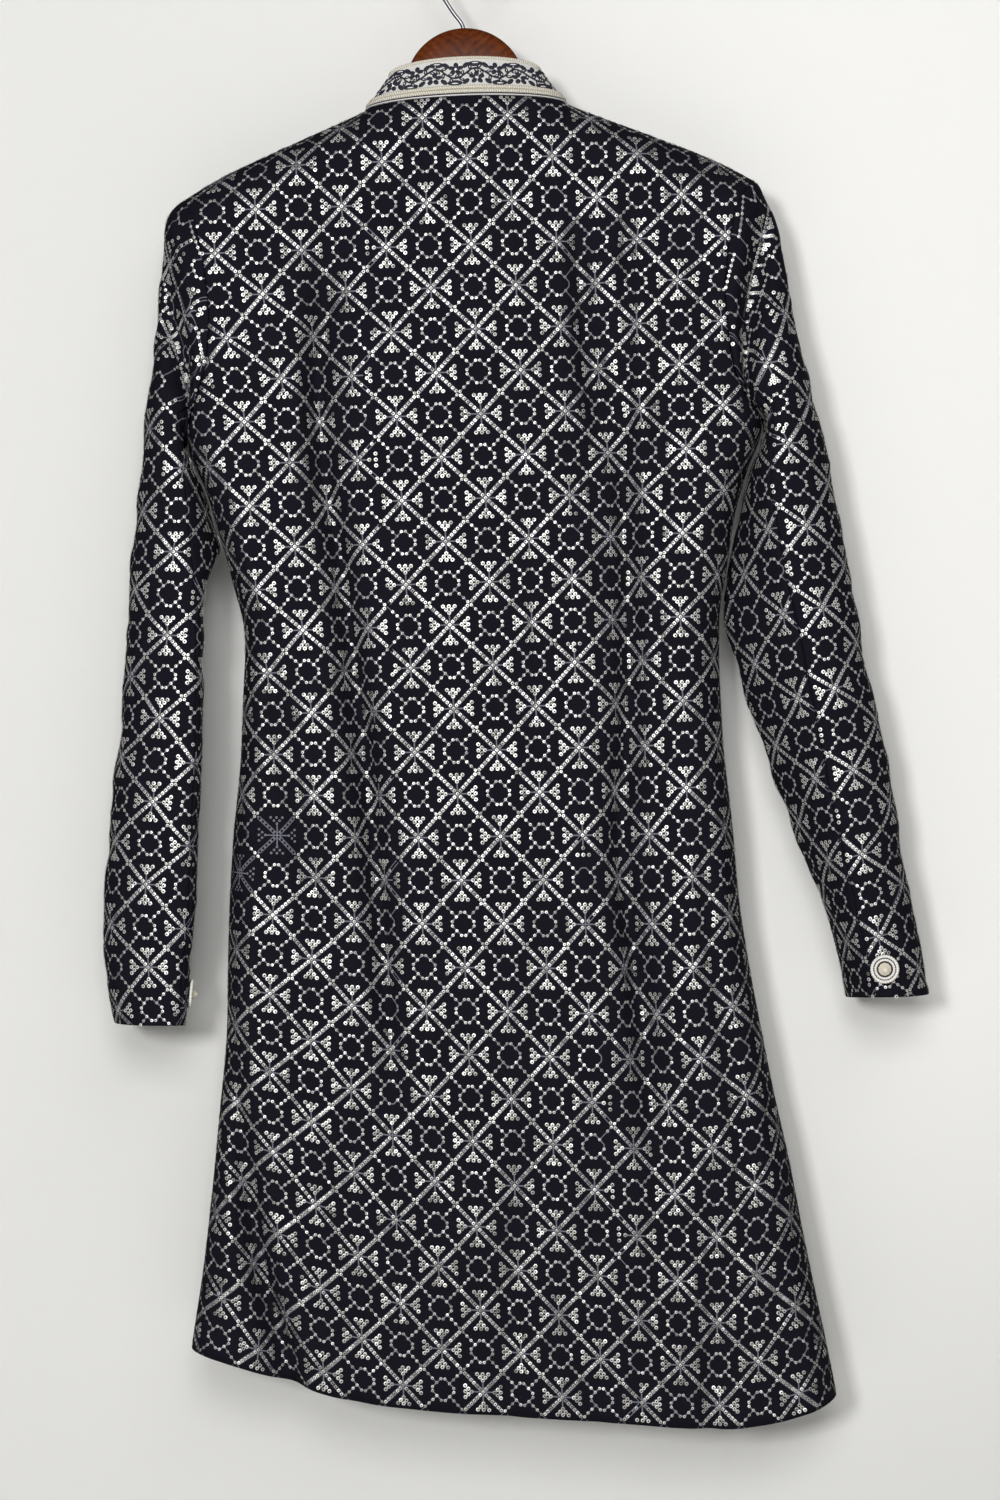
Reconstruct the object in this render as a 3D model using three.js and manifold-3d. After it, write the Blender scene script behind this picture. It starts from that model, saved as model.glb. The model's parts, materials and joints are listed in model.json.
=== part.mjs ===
// A long-sleeved kurta with a band collar, hanging by its shoulders on a wooden hanger.
// Millimetres, +Z up. The origin is the inside top of the hanger's hook, where a rail carries it.
// The back of the kurta faces -Y and the front +Y, so the wearer's left is at -X.
import * as THREE from 'three';
import { mergeVertices } from 'three/addons/utils/BufferGeometryUtils.js';
import Module from 'manifold-3d';

// ---- driving dimensions -----------------------------------------------------------------------

const clothWall = 1.5; // embroidered cotton with its facing layer of thread
const seamGap = 0.5; // between two sewn pieces
const neckHalfWidth = 78;
const neckHalfDepth = 30;
const neckSideZ = -137; // where the collar meets the shoulder seam
const backNeckRise = 3.2;
const frontNeckDrop = 66;
const shoulderZ = -202; // outer end of the shoulder seam
const shoulderRound = 30; // height over which the cloth rolls off the hanger
const sideTurn = { left: 24, right: 27 }; // width over which a panel turns to its side seam
const slitTopZ = -806;
const hemLevel = -1120;

// Half-widths down the body: the armhole's edge to the underarm, and the side seam below it.
const underarmZ = -392;
const bodyEdge = [
  { z: shoulderZ, left: 221, right: 221 },
  { z: -228, left: 211, right: 205 },
  { z: -265, left: 205, right: 197 },
  { z: -292, left: 203, right: 194 },
  { z: -331, left: 206, right: 196 },
  { z: -352, left: 212, right: 199 },
  { z: -372, left: 220, right: 208 },
  { z: underarmZ, left: 226, right: 222 },
  { z: -430, left: 213, right: 208.5 },
  { z: -466, left: 203.5, right: 197.5 },
  { z: -497, left: 196, right: 192 },
  { z: -545, left: 187, right: 183.5 },
  { z: -590, left: 190, right: 182.4 },
  { z: -642, left: 194, right: 183.5 },
  { z: -700, left: 201.6, right: 188 },
  { z: -762, left: 207, right: 191.5 },
  { z: slitTopZ, left: 209.5, right: 196.5 },
  { z: -850, left: 211.5, right: 203 },
  { z: -912, left: 218.4, right: 213 },
  { z: -966, left: 225, right: 223 },
  { z: -1030, left: 234.2, right: 233 },
  { z: -1096, left: 245.9, right: 244.5 },
  { z: -1150, left: 253, right: 253.5 },
];

// The shoulder seam's height, outwards from the neck.
const shoulderSeam = [
  { x: neckHalfWidth, z: neckSideZ - seamGap * 1.4 },
  { x: 92, z: -143.8 },
  { x: 140, z: -163.5 },
  { x: 185, z: -182.5 },
  { x: 203, z: -191.5 },
  { x: 221, z: shoulderZ },
];

// The hem's height across the panel, from the left corner (-1) to the right one (+1).
const hemLine = [
  { across: -1, z: -1091 },
  { across: -0.8, z: -1107.5 },
  { across: -0.53, z: -1130 },
  { across: -0.225, z: -1143 },
  { across: 0.025, z: -1148.5 },
  { across: 0.35, z: -1157 },
  { across: 0.66, z: -1164 },
  { across: 0.8, z: -1160.5 },
  { across: 1, z: -1146 },
];

// How far the middle of each panel stands from the hanger's plane.
const bodyDepth = [
  { z: -230, back: -35, front: 29 },
  { z: underarmZ, back: -38, front: 30 },
  { z: -560, back: -39, front: 32 },
  { z: slitTopZ, back: -42, front: 34 },
  { z: -1120, back: -46, front: 36 },
];

// How far the panels' edges stand from it: flat at the armhole, together at the side seam,
// and apart again where the slits are open.
const edgeDepth = [
  { z: -340, backleft: -34.5, backright: -34.5, frontleft: 29, frontright: 29 },
  { z: -360, backleft: -31, backright: -31, frontleft: 26, frontright: 26 },
  { z: -376, backleft: -22, backright: -22, frontleft: 19, frontright: 19 },
  { z: -386, backleft: -10, backright: -10, frontleft: 11, frontright: 11 },
  { z: underarmZ, backleft: 3, backright: 3, frontleft: 3, frontright: 3 },
  { z: slitTopZ, backleft: 3, backright: 3, frontleft: 3, frontright: 3 },
  { z: -930, backleft: -12, backright: 0, frontleft: 11, frontright: 9 },
  { z: -1150, backleft: -26, backright: -6, frontleft: 16, frontright: 14 },
];

// Soft troughs (and ridges, with a negative push) that run down the panels. Each crosses
// topX, midX and lowX, and dies out over the stated lengths at its two ends.
const folds = {
  back: [
    { topZ: -172, lowZ: -900, topX: -110, midX: -119, lowX: -62, width: 16, push: 11, fadeTop: 90, fadeLow: 260 },
    { topZ: -215, lowZ: -1090, topX: 82, midX: 120, lowX: 117, width: 18, push: 12.5, fadeTop: 120, fadeLow: 330 },
    { topZ: -480, lowZ: -830, topX: -168, midX: -150, lowX: -131, width: 14, push: 4.5, fadeTop: 110, fadeLow: 120 },
    { topZ: -430, lowZ: -760, topX: 21, midX: 16, lowX: 10, width: 11, push: 2, fadeTop: 120, fadeLow: 140 },
    { topZ: -930, lowZ: -1180, topX: -196, midX: -192, lowX: -160, width: 11, push: 15, fadeTop: 150, fadeLow: 0 },
    { topZ: -760, lowZ: -1180, topX: -18, midX: 2, lowX: 14, width: 34, push: -5, fadeTop: 200, fadeLow: 0 },
  ],
  front: [
    { topZ: -200, lowZ: -980, topX: 104, midX: 116, lowX: 84, width: 18, push: 8, fadeTop: 90, fadeLow: 300 },
    { topZ: -220, lowZ: -1060, topX: -92, midX: -112, lowX: -120, width: 20, push: 8, fadeTop: 120, fadeLow: 320 },
    { topZ: -860, lowZ: -1180, topX: 170, midX: 176, lowX: 160, width: 18, push: 10, fadeTop: 150, fadeLow: 0 },
    { topZ: -800, lowZ: -1180, topX: -30, midX: -24, lowX: -10, width: 32, push: -5, fadeTop: 200, fadeLow: 0 },
  ],
};

// Each sleeve as rings down its length. A head ring lies between the armhole and the first
// full section; its valley is the crease beside the armhole. A full section has an outer edge,
// the elbow seam's crease on the near side, and an inner edge next to the body.
const sleeveHead = {
  left: [
    { blend: 0.2, outX: 229, outZ: -208.5, valley: 0 },
    { blend: 0.38, outX: 234.5, outZ: -216, valley: 2 },
    { blend: 0.6, outX: 238.5, outZ: -236, valley: 16 },
    { blend: 0.8, outX: 244, outZ: -275, valley: 4 },
  ],
  right: [
    { blend: 0.17, outX: 226, outZ: -208.5, valley: 2 },
    { blend: 0.36, outX: 232, outZ: -219, valley: 18 },
    { blend: 0.57, outX: 239.5, outZ: -239, valley: 4 },
    { blend: 0.78, outX: 245, outZ: -280, valley: 0 },
  ],
};
const sleeveSections = {
  left: [
    { outX: 251.5, outZ: -335, creaseX: 229, creaseZ: -374, inX: 223, inZ: -407, near: -36, far: 36 },
    { outX: 259, outZ: -391, creaseX: 228, creaseZ: -402, inX: 216, inZ: -428, near: -37, far: 39 },
    { outX: 267, outZ: -446, creaseX: 224, creaseZ: -446, inX: 208, inZ: -453, near: -38, far: 41 },
    { outX: 274, outZ: -493, creaseX: 222, creaseZ: -487, inX: 202, inZ: -475, near: -39, far: 43 },
    { outX: 277, outZ: -524, creaseX: 221, creaseZ: -516, inX: 217, inZ: -498, near: -40, far: 44 },
    { outX: 280, outZ: -556, creaseX: 220.5, creaseZ: -553, inX: 221.5, inZ: -547, near: -41, far: 45 },
    { outX: 284, outZ: -602, creaseX: 222, creaseZ: -602, inX: 223.5, inZ: -602, near: -42, far: 46 },
    { outX: 291, outZ: -648, creaseX: 225.5, creaseZ: -648, inX: 227, inZ: -648, near: -42, far: 46 },
    { outX: 297, outZ: -692, creaseX: 228.5, creaseZ: -692, inX: 230, inZ: -692, near: -41, far: 45 },
    { outX: 302, outZ: -734, creaseX: 232.5, creaseZ: -735, inX: 234, inZ: -735, near: -40, far: 43 },
    { outX: 304.5, outZ: -776, creaseX: 237.5, creaseZ: -778, inX: 239, inZ: -778, near: -39, far: 41 },
    { outX: 303, outZ: -808, creaseX: 241, creaseZ: -811, inX: 242.5, inZ: -812, near: -38, far: 39 },
    { outX: 298.6, outZ: -839.5, creaseX: 244.5, creaseZ: -841.5, inX: 246, inZ: -844, near: -38, far: 38 },
  ],
  right: [
    { outX: 254, outZ: -338, creaseX: 226, creaseZ: -384, inX: 219.5, inZ: -407, near: -40, far: 36 },
    { outX: 266, outZ: -390, creaseX: 225, creaseZ: -412, inX: 212, inZ: -428, near: -42, far: 40 },
    { outX: 275.5, outZ: -445, creaseX: 223.5, creaseZ: -447, inX: 204, inZ: -453, near: -43, far: 43 },
    { outX: 282, outZ: -494, creaseX: 229, creaseZ: -492, inX: 195.5, inZ: -490, near: -44, far: 45 },
    { outX: 289.5, outZ: -535, creaseX: 236.5, creaseZ: -535, inX: 187.5, inZ: -537, near: -44, far: 46 },
    { outX: 293.5, outZ: -571, creaseX: 243, creaseZ: -571, inX: 195, inZ: -571, near: -44, far: 46 },
    { outX: 300.5, outZ: -611, creaseX: 249.5, creaseZ: -611, inX: 206, inZ: -611, near: -44, far: 46 },
    { outX: 308.5, outZ: -650, creaseX: 255.5, creaseZ: -650, inX: 217, inZ: -650, near: -43, far: 46 },
    { outX: 314.5, outZ: -690, creaseX: 262.5, creaseZ: -690, inX: 230, inZ: -690, near: -42, far: 45 },
    { outX: 318, outZ: -730, creaseX: 269.5, creaseZ: -730, inX: 243, inZ: -730, near: -41, far: 43 },
    { outX: 324, outZ: -769, creaseX: 277.5, creaseZ: -770, inX: 258, inZ: -770, near: -40, far: 41 },
    { outX: 331, outZ: -806, creaseX: 284.5, creaseZ: -808, inX: 267.5, inZ: -806, near: -39, far: 39 },
    { outX: 336, outZ: -839, creaseX: 291, creaseZ: -838.5, inX: 272.7, inZ: -841, near: -38, far: 38 },
  ],
};
const innerEdgeY = 7; // depth of a sleeve's inner edge
const sleeveClearance = 1.6; // from a sleeve to the side seam beside it

// The collar stands on the neck seam and leans in towards its top.
const collarWall = 2;
const collarTop = { halfWidth: 58, halfDepth: 17, sideZ: -110, backRise: 8.5, frontDrop: 58 };
const collarOpening = 2.4; // between its two ends, at the centre front
const collarProfile = [
  { up: 0, proud: 0 },
  { up: 0.08, proud: 1 },
  { up: 0.17, proud: 0 },
  { up: 0.5, proud: 0.6 },
  { up: 0.85, proud: 0 },
  { up: 0.93, proud: 0.9 },
  { up: 1, proud: 0 },
];

// The front opening's placket and its plain buttons.
const placket = { halfWidth: 17, lowLevel: -500 };
const frontButtonLevels = [-250, -312, -374, -436];

const cuffButtonPlace = {
  left: { row: 0.955, column: 10.6 },
  right: { row: 0.958, column: 7.55 },
};

// The hanger: a wooden arch with two arms, and a wire hook.
const archRadius = 47;
const archCentreZ = -122;
const armHalfLength = 210;
const wireRadius = 1.6;
const hookRadius = 26; // to the wire's centre
const hookLean = [
  { x: 0, z: -89 },
  { x: 0, z: -81 },
  { x: 0, z: -75.5 },
  { x: -1.8, z: -70.5 },
  { x: -7.2, z: -63 },
  { x: -13.5, z: -52.6 },
  { x: -19.2, z: -43 },
];
const hookArc = { from: 205, to: -38, step: 13.5 }; // degrees about the hook's centre

// ---- materials --------------------------------------------------------------------------------

function finish(color, roughness, metalness = 0) {
  return new THREE.MeshStandardMaterial({ color, roughness, metalness });
}
const finishes = {
  navyCloth: () => finish(0x1b1b2b, 0.85),
  creamBand: () => finish(0xe4dfd0, 0.8),
  pearl: () => finish(0xe9e6dc, 0.35),
  mahogany: () => finish(0x5a2616, 0.4),
  steelWire: () => finish(0x8b8d8f, 0.3, 1),
};

// ---- small helpers ----------------------------------------------------------------------------

const { lerp, clamp } = THREE.MathUtils;

function smooth(t) {
  const c = clamp(t, 0, 1);
  return c * c * (3 - 2 * c);
}

// Rises from 0 to 1 as a quarter of an ellipse does, and stays there.
function quarter(t) {
  const c = clamp(t, 0, 1);
  return Math.sqrt(1 - (1 - c) ** 2);
}

// Reads a column of a table at a place, on a smooth curve that never overshoots its rows.
function read(rows, key, at, by = 'z') {
  const sign = Math.sign(rows.at(-1)[by] - rows[0][by]);
  const last = rows.length - 1;
  const next = rows.findIndex((row) => (row[by] - at) * sign >= 0);
  if (next <= 0) return rows[next < 0 ? last : 0][key];
  const secant = (i) => (rows[i + 1][key] - rows[i][key]) / (rows[i + 1][by] - rows[i][by]);
  const slope = (i) => {
    if (i === 0) return secant(0);
    if (i === last) return secant(last - 1);
    const [a, b] = [secant(i - 1), secant(i)];
    return a * b <= 0 ? 0 : (2 * a * b) / (a + b);
  };
  const [from, to] = [rows[next - 1], rows[next]];
  const span = to[by] - from[by];
  const t = (at - from[by]) / span;
  const [t2, t3] = [t * t, t * t * t];
  return (
    (2 * t3 - 3 * t2 + 1) * from[key] +
    (t3 - 2 * t2 + t) * span * slope(next - 1) +
    (3 * t2 - 2 * t3) * to[key] +
    (t3 - t2) * span * slope(next)
  );
}

// Normals of a grid of points. Columns can close into a ring.
function gridNormals(grid, closed, flip) {
  const columns = grid[0].length;
  return grid.map((row, i) =>
    row.map((_, j) => {
      const wrap = (k) => (closed ? (k + columns) % columns : clamp(k, 0, columns - 1));
      const along = row[wrap(j + 1)].clone().sub(row[wrap(j - 1)]);
      const up = grid[Math.max(i - 1, 0)][j];
      const down = grid[Math.min(i + 1, grid.length - 1)][j];
      const normal = along.cross(down.clone().sub(up)).normalize();
      return flip ? normal.negate() : normal;
    }),
  );
}

function movedBy(grid, normals, distance) {
  return grid.map((row, i) => row.map((p, j) => p.clone().addScaledVector(normals[i][j], distance)));
}

// A closed solid between two grids of points: its two skins and the rim that joins them.
function solidBetween(outer, inner) {
  const [rows, columns] = [outer.length, outer[0].length];
  const positions = [];
  for (const skin of [outer, inner]) {
    for (const row of skin) {
      for (const p of row) positions.push(p.x, p.y, p.z);
    }
  }
  const at = (skin, i, j) => (skin * rows + i) * columns + j;
  const index = [];
  const quad = (a, b, c, d) => index.push(a, b, c, a, c, d);
  for (let i = 0; i + 1 < rows; i += 1) {
    for (let j = 0; j + 1 < columns; j += 1) {
      quad(at(0, i, j), at(0, i + 1, j), at(0, i + 1, j + 1), at(0, i, j + 1));
      quad(at(1, i, j), at(1, i, j + 1), at(1, i + 1, j + 1), at(1, i + 1, j));
    }
  }
  for (let i = 0; i + 1 < rows; i += 1) {
    quad(at(0, i, 0), at(1, i, 0), at(1, i + 1, 0), at(0, i + 1, 0));
    quad(at(0, i, columns - 1), at(0, i + 1, columns - 1), at(1, i + 1, columns - 1), at(1, i, columns - 1));
  }
  for (let j = 0; j + 1 < columns; j += 1) {
    quad(at(0, 0, j), at(0, 0, j + 1), at(1, 0, j + 1), at(1, 0, j));
    quad(at(0, rows - 1, j), at(1, rows - 1, j), at(1, rows - 1, j + 1), at(0, rows - 1, j + 1));
  }
  return closedGeometry(positions, index);
}

// A geometry with its faces pointing out, whichever way round they were listed.
function closedGeometry(positions, index) {
  let volume = 0;
  const corner = (k) => new THREE.Vector3().fromArray(positions, index[k] * 3);
  for (let k = 0; k < index.length; k += 3) {
    volume += corner(k).dot(corner(k + 1).cross(corner(k + 2)));
  }
  if (volume < 0) index.reverse();
  const geometry = new THREE.BufferGeometry();
  geometry.setAttribute('position', new THREE.Float32BufferAttribute(positions, 3));
  geometry.setIndex(index);
  return geometry;
}

// A closed solid through rings of equal length, with a fan over each end.
function solidThroughRings(rings) {
  const count = rings[0].length;
  const positions = rings.flat().flatMap((p) => [p.x, p.y, p.z]);
  const index = [];
  for (let i = 0; i + 1 < rings.length; i += 1) {
    for (let j = 0; j < count; j += 1) {
      const [a, b] = [i * count + j, i * count + ((j + 1) % count)];
      index.push(a, a + count, b + count, a, b + count, b);
    }
  }
  const lastRing = (rings.length - 1) * count;
  for (let j = 1; j + 1 < count; j += 1) {
    index.push(0, j, j + 1);
    index.push(lastRing, lastRing + j + 1, lastRing + j);
  }
  return closedGeometry(positions, index);
}

// ---- body panels ------------------------------------------------------------------------------

const faces = {
  back: { name: 'back', sign: -1 },
  front: { name: 'front', sign: 1 },
};
const armholeLevels = [shoulderZ, -208, -217, -229, -245, -265, -288, -311, -333, -353, -371, -384, underarmZ];
const backLevels = [-408, -430, -460, -497, -540, -590, -640, -695, -750, slitTopZ, -860, -915, -970, -1025, -1075, hemLevel];
const frontLevels = [-408, -430, -460, -497, -545, -610, -680, -745, slitTopZ, -880, -960, -1040, hemLevel];

// Places across a panel, from -1 to 1. They gather where the neck meets the shoulder seams.
const neckSteps = 16; // along half of the neck seam, for the collar too
function columnsAcross(shoulderSteps) {
  const neckShare = neckHalfWidth / bodyEdge[0].left;
  const inNeck = [...Array(neckSteps + 1).keys()].map((k) => -neckShare * Math.cos((Math.PI * k) / neckSteps));
  const beyond = [...Array(shoulderSteps).keys()].map((k) => {
    const t = 1 - (1 - (k + 1) / shoulderSteps) ** 1.25;
    return lerp(neckShare, 1, t);
  });
  return [...beyond.map((s) => -s).reverse(), ...inNeck, ...beyond];
}

// The neck seam, as a ring. Angle 0 is at the right shoulder, and the front is at 90 degrees.
function neckPoint(angle) {
  const [c, s] = [Math.cos(angle), Math.sin(angle)];
  const z = s > 0 ? neckSideZ - frontNeckDrop * s * s : neckSideZ - backNeckRise * s;
  return new THREE.Vector3(neckHalfWidth * c, neckHalfDepth * s, z);
}

// Where a panel starts: the neck seam in the middle, and the shoulder seam beyond it.
function topOfPanel(face, across) {
  const x = Math.abs(across) * bodyEdge[0].left;
  if (x < neckHalfWidth - 1e-6) {
    const p = neckPoint(face.sign * Math.acos(x / neckHalfWidth));
    return { y: p.y + face.sign * seamGap, z: p.z - seamGap * 1.3 };
  }
  return { y: (face.sign * seamGap) / 2, z: read(shoulderSeam, 'z', x, 'x') };
}

function heightAt(face, across, level) {
  const lift = topOfPanel(face, across).z - shoulderZ;
  const droop = read(hemLine, 'z', across, 'across') - hemLevel;
  return level + lift * (1 - smooth((shoulderZ - level) / 330)) + droop * smooth((-560 - level) / 560);
}

function foldPush(face, x, z) {
  return folds[face.name].reduce((sum, fold) => {
    const t = (z - fold.topZ) / (fold.lowZ - fold.topZ);
    if (t <= 0 || t >= 1) return sum;
    const length = fold.topZ - fold.lowZ;
    const upper = lerp(fold.topX, fold.midX, t);
    const centre = lerp(upper, lerp(fold.midX, fold.lowX, t), t);
    const start = fold.fadeTop ? smooth((t * length) / fold.fadeTop) : 1;
    const end = fold.fadeLow ? smooth(((1 - t) * length) / fold.fadeLow) : 1;
    return sum + fold.push * start * end * Math.exp(-(((x - centre) / fold.width) ** 2));
  }, 0);
}

function panelPoint(face, across, level) {
  const side = across < 0 ? 'left' : 'right';
  const top = topOfPanel(face, across);
  const z = heightAt(face, across, level);
  const edgeZ = heightAt(face, Math.sign(across) || 1, level);
  const halfWidth = read(bodyEdge, side, edgeZ);
  const x = across * halfWidth;
  const edgeY = read(edgeDepth, face.name + side, edgeZ) + (face.sign * seamGap) / 2;
  const turned = quarter((halfWidth - Math.abs(x)) / sideTurn[side]);
  const middleY = read(bodyDepth, face.name, z) - face.sign * foldPush(face, x, z);
  const fallen = quarter((top.z - z) / shoulderRound);
  return new THREE.Vector3(x, lerp(top.y, lerp(edgeY, middleY, turned), fallen), z);
}

// Both panels and the sleeve share these normals at an armhole, so their edges stay parallel.
function armholeNormals(side) {
  const across = side === 'left' ? -1 : 1;
  const near = armholeLevels.map((level) => panelPoint(faces.back, across, level));
  const far = armholeLevels.map((level) => panelPoint(faces.front, across, level));
  const loop = [...near, ...far.slice(1, -1).reverse()];
  return loop.map((p, j) => {
    const before = loop[(j + loop.length - 1) % loop.length];
    const after = loop[(j + 1) % loop.length];
    const tangent = after.clone().sub(before);
    return new THREE.Vector3(0, tangent.z, -tangent.y).normalize();
  });
}
const armhole = { left: armholeNormals('left'), right: armholeNormals('right') };

// The slanted normal that the collar and the panels share along the neck seam.
function neckNormal(angle) {
  const upward = 0.25 + 0.5 * Math.abs(Math.cos(angle)) ** 3;
  return new THREE.Vector3(Math.cos(angle), Math.sin(angle), 0).multiplyScalar(1 - upward).setZ(upward).normalize();
}

function bodyPanel(face, columns, levels) {
  const outer = levels.map((level) => columns.map((across) => panelPoint(face, across, level)));
  const normals = gridNormals(outer, false, face.sign < 0);
  const last = columns.length - 1;
  levels.forEach((level, i) => {
    for (const [side, j, way] of [['left', 0, -1], ['right', last, 1]]) {
      const armholeRow = armholeLevels.indexOf(level);
      const ring = armhole[side];
      const slit = level < slitTopZ;
      if (armholeRow === armholeLevels.length - 1) {
        normals[i][j].set(way * 0.6, 0, -0.8);
      } else if (armholeRow >= 0) {
        normals[i][j].copy(ring[face.sign < 0 ? armholeRow : (ring.length - armholeRow) % ring.length]);
      } else if (!slit) {
        normals[i][j].set(way, 0, 0);
      }
    }
  });
  columns.slice(1, -1).forEach((across, k) => {
    const x = across * bodyEdge[0].left;
    const inNeck = Math.abs(x) < neckHalfWidth + 1e-6;
    const angle = face.sign * Math.acos(clamp(x / neckHalfWidth, -1, 1));
    const slope = new THREE.Vector3(Math.sign(x) * 0.4, 0, 0.9165);
    normals[0][k + 1].copy(inNeck ? neckNormal(angle) : slope);
  });
  return { outer, normals, inner: movedBy(outer, normals, -clothWall) };
}

const backColumns = columnsAcross(7);
const frontColumns = columnsAcross(6);
const backPanel = bodyPanel(faces.back, backColumns, [...armholeLevels, ...backLevels]);
const frontPanel = bodyPanel(faces.front, frontColumns, [...armholeLevels, ...frontLevels]);

// ---- sleeves ----------------------------------------------------------------------------------

const armholeSteps = armholeLevels.length - 1;
const ringSize = armholeSteps * 2; // from the shoulder, down the near side, and up the far side
const elbowSeam = ringSize * 3 / 8;
const frontSeam = ringSize * 5 / 8;

// A full section: a soft closed curve through eight places, which the seams keep in step.
function sleeveSection(row) {
  const outer = new THREE.Vector3(row.outX, 2, row.outZ);
  const crease = new THREE.Vector3(row.creaseX, row.near, row.creaseZ);
  const inside = new THREE.Vector3(row.inX, innerEdgeY, row.inZ);
  const between = (a, b, t, y) => a.clone().lerp(b, t).setY(y);
  const curve = new THREE.CatmullRomCurve3(
    [
      outer,
      between(outer, crease, 0.13, row.near * 0.68),
      between(outer, crease, 0.5, row.near * 1.02),
      crease.setY(row.near),
      inside,
      between(inside, outer, 0.16, row.far * 0.84),
      between(inside, outer, 0.55, row.far),
      between(inside, outer, 0.86, row.far * 0.66),
    ],
    true,
  );
  return [...Array(ringSize).keys()].map((j) => curve.getPoint(j / ringSize));
}

function sleeveRings(side) {
  const way = side === 'left' ? -1 : 1;
  const edge = (z) => read(bodyEdge, side, z);
  const seam = [...Array(ringSize).keys()].map((j) => {
    const onBack = j <= armholeSteps;
    const level = armholeLevels[onBack ? j : ringSize - j];
    const p = panelPoint(onBack ? faces.back : faces.front, way, level);
    const onSeam = j === 0 || j === armholeSteps;
    const y = onSeam ? p.y + seamGap / 2 : p.y;
    return new THREE.Vector3(Math.abs(p.x) + seamGap, y, p.z);
  });
  const sections = sleeveSections[side].map(sleeveSection);
  const heads = sleeveHead[side].map((head) =>
    seam.map((p, j) => {
      const point = p.clone().lerp(sections[0][j], head.blend);
      const half = armholeSteps;
      const fromOuter = Math.min(j, ringSize - j) / half;
      const outShare = smooth(1 - fromOuter * 4);
      point.x = lerp(point.x, head.outX, outShare);
      point.z = lerp(point.z, head.outZ, outShare);
      const sunk = j < half ? head.valley * smooth(fromOuter * 5 - 0.4) * smooth((1 - fromOuter) * 2.4) : 0;
      point.y += sunk;
      point.x = Math.max(point.x, edge(point.z) + seamGap + sleeveClearance * smooth(head.blend * 5));
      return point;
    }),
  );
  for (const ring of sections) {
    for (const p of ring) {
      if (p.z > -560) p.x = Math.max(p.x, edge(p.z) + seamGap + sleeveClearance);
    }
  }
  const rings = [seam, ...heads, ...sections].map((ring) => ring.map((p) => p.setX(p.x * way)));
  const normals = gridNormals(rings, true, way < 0);
  normals[0] = armhole[side].map((n) => n.clone());
  normals[0][armholeSteps].set(-0.6 * way, 0, -0.8);
  return { rings, normals };
}

// One piece of a sleeve, between two seams of the rings.
function sleevePiece({ rings, normals }, from, to) {
  const columns = [...Array(to - from + 1).keys()].map((k) => (from + k + ringSize) % ringSize);
  const outer = rings.map((ring) => columns.map((j) => ring[j].clone()));
  const normal = normals.map((ring) => columns.map((j) => ring[j]));
  const [near, far] = [columns[0], columns.at(-1)];
  outer.forEach((row, i) => {
    const [above, below] = [rings[Math.max(i - 1, 0)], rings[Math.min(i + 1, rings.length - 1)]];
    for (const [point, next, seam] of [[row[0], row[1].clone(), near], [row.at(-1), row.at(-2).clone(), far]]) {
      const along = below[seam].clone().sub(above[seam]).normalize();
      const inward = next.sub(point).normalize();
      const across = inward.clone().addScaledVector(along, -inward.dot(along));
      if (i === 0) across.copy(inward).divideScalar(Math.max(across.length(), 0.4));
      else across.normalize();
      point.addScaledVector(across, seamGap * 0.55);
    }
  });
  return { outer, normals: normal, inner: movedBy(outer, normal, -clothWall) };
}

const sleeves = { left: sleeveRings('left'), right: sleeveRings('right') };

// ---- collar -----------------------------------------------------------------------------------

function collarPoint(angle, up) {
  const base = neckPoint(angle);
  const s = Math.sin(angle);
  const { halfWidth, halfDepth, sideZ, backRise, frontDrop } = collarTop;
  const topZ = s > 0 ? sideZ - frontDrop * s * s : sideZ - backRise * s;
  const top = new THREE.Vector3(halfWidth * Math.cos(angle), halfDepth * s, topZ);
  return base.lerp(top, up);
}

function collarPiece() {
  const steps = neckSteps * 2;
  const half = Math.asin(collarOpening / 2 / neckHalfWidth);
  const angles = [...Array(steps + 1).keys()].map((k) => Math.PI * (0.5 + k / neckSteps));
  angles[0] += half;
  angles[steps] -= half;
  const plain = collarProfile.map(({ up }) => angles.map((angle) => collarPoint(angle, up)));
  const normals = gridNormals(plain, false, false);
  normals[0] = angles.map((angle) => neckNormal(angle));
  const outer = plain.map((row, i) => row.map((p, j) => p.clone().addScaledVector(normals[i][j], collarProfile[i].proud)));
  return { outer, normals, inner: movedBy(plain, normals, -collarWall) };
}

// ---- placket and buttons ----------------------------------------------------------------------

// A place on a panel's own facets, at a distance x from the centre line.
function onPanel(panel, row, x) {
  const points = panel.outer[row];
  const j = points.findIndex((p) => p.x >= x);
  const t = (x - points[j - 1].x) / (points[j].x - points[j - 1].x);
  return {
    point: points[j - 1].clone().lerp(points[j], t),
    normal: panel.normals[row][j - 1].clone().lerp(panel.normals[row][j], t).normalize(),
  };
}

const panelLevels = [...armholeLevels, ...frontLevels];

function placketPiece() {
  const rows = panelLevels.map((level, i) => ({ level, i })).filter(({ level, i }) => i > 0 && level > placket.lowLevel);
  const xs = [-placket.halfWidth, -placket.halfWidth / 2, 0, placket.halfWidth / 2, placket.halfWidth];
  const places = rows.map(({ i }) => xs.map((x) => onPanel(frontPanel, i, x)));
  const raised = (distance) => places.map((row) => row.map(({ point, normal }) => point.clone().addScaledVector(normal, distance)));
  return { outer: raised(seamGap + clothWall), inner: raised(seamGap) };
}

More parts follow.
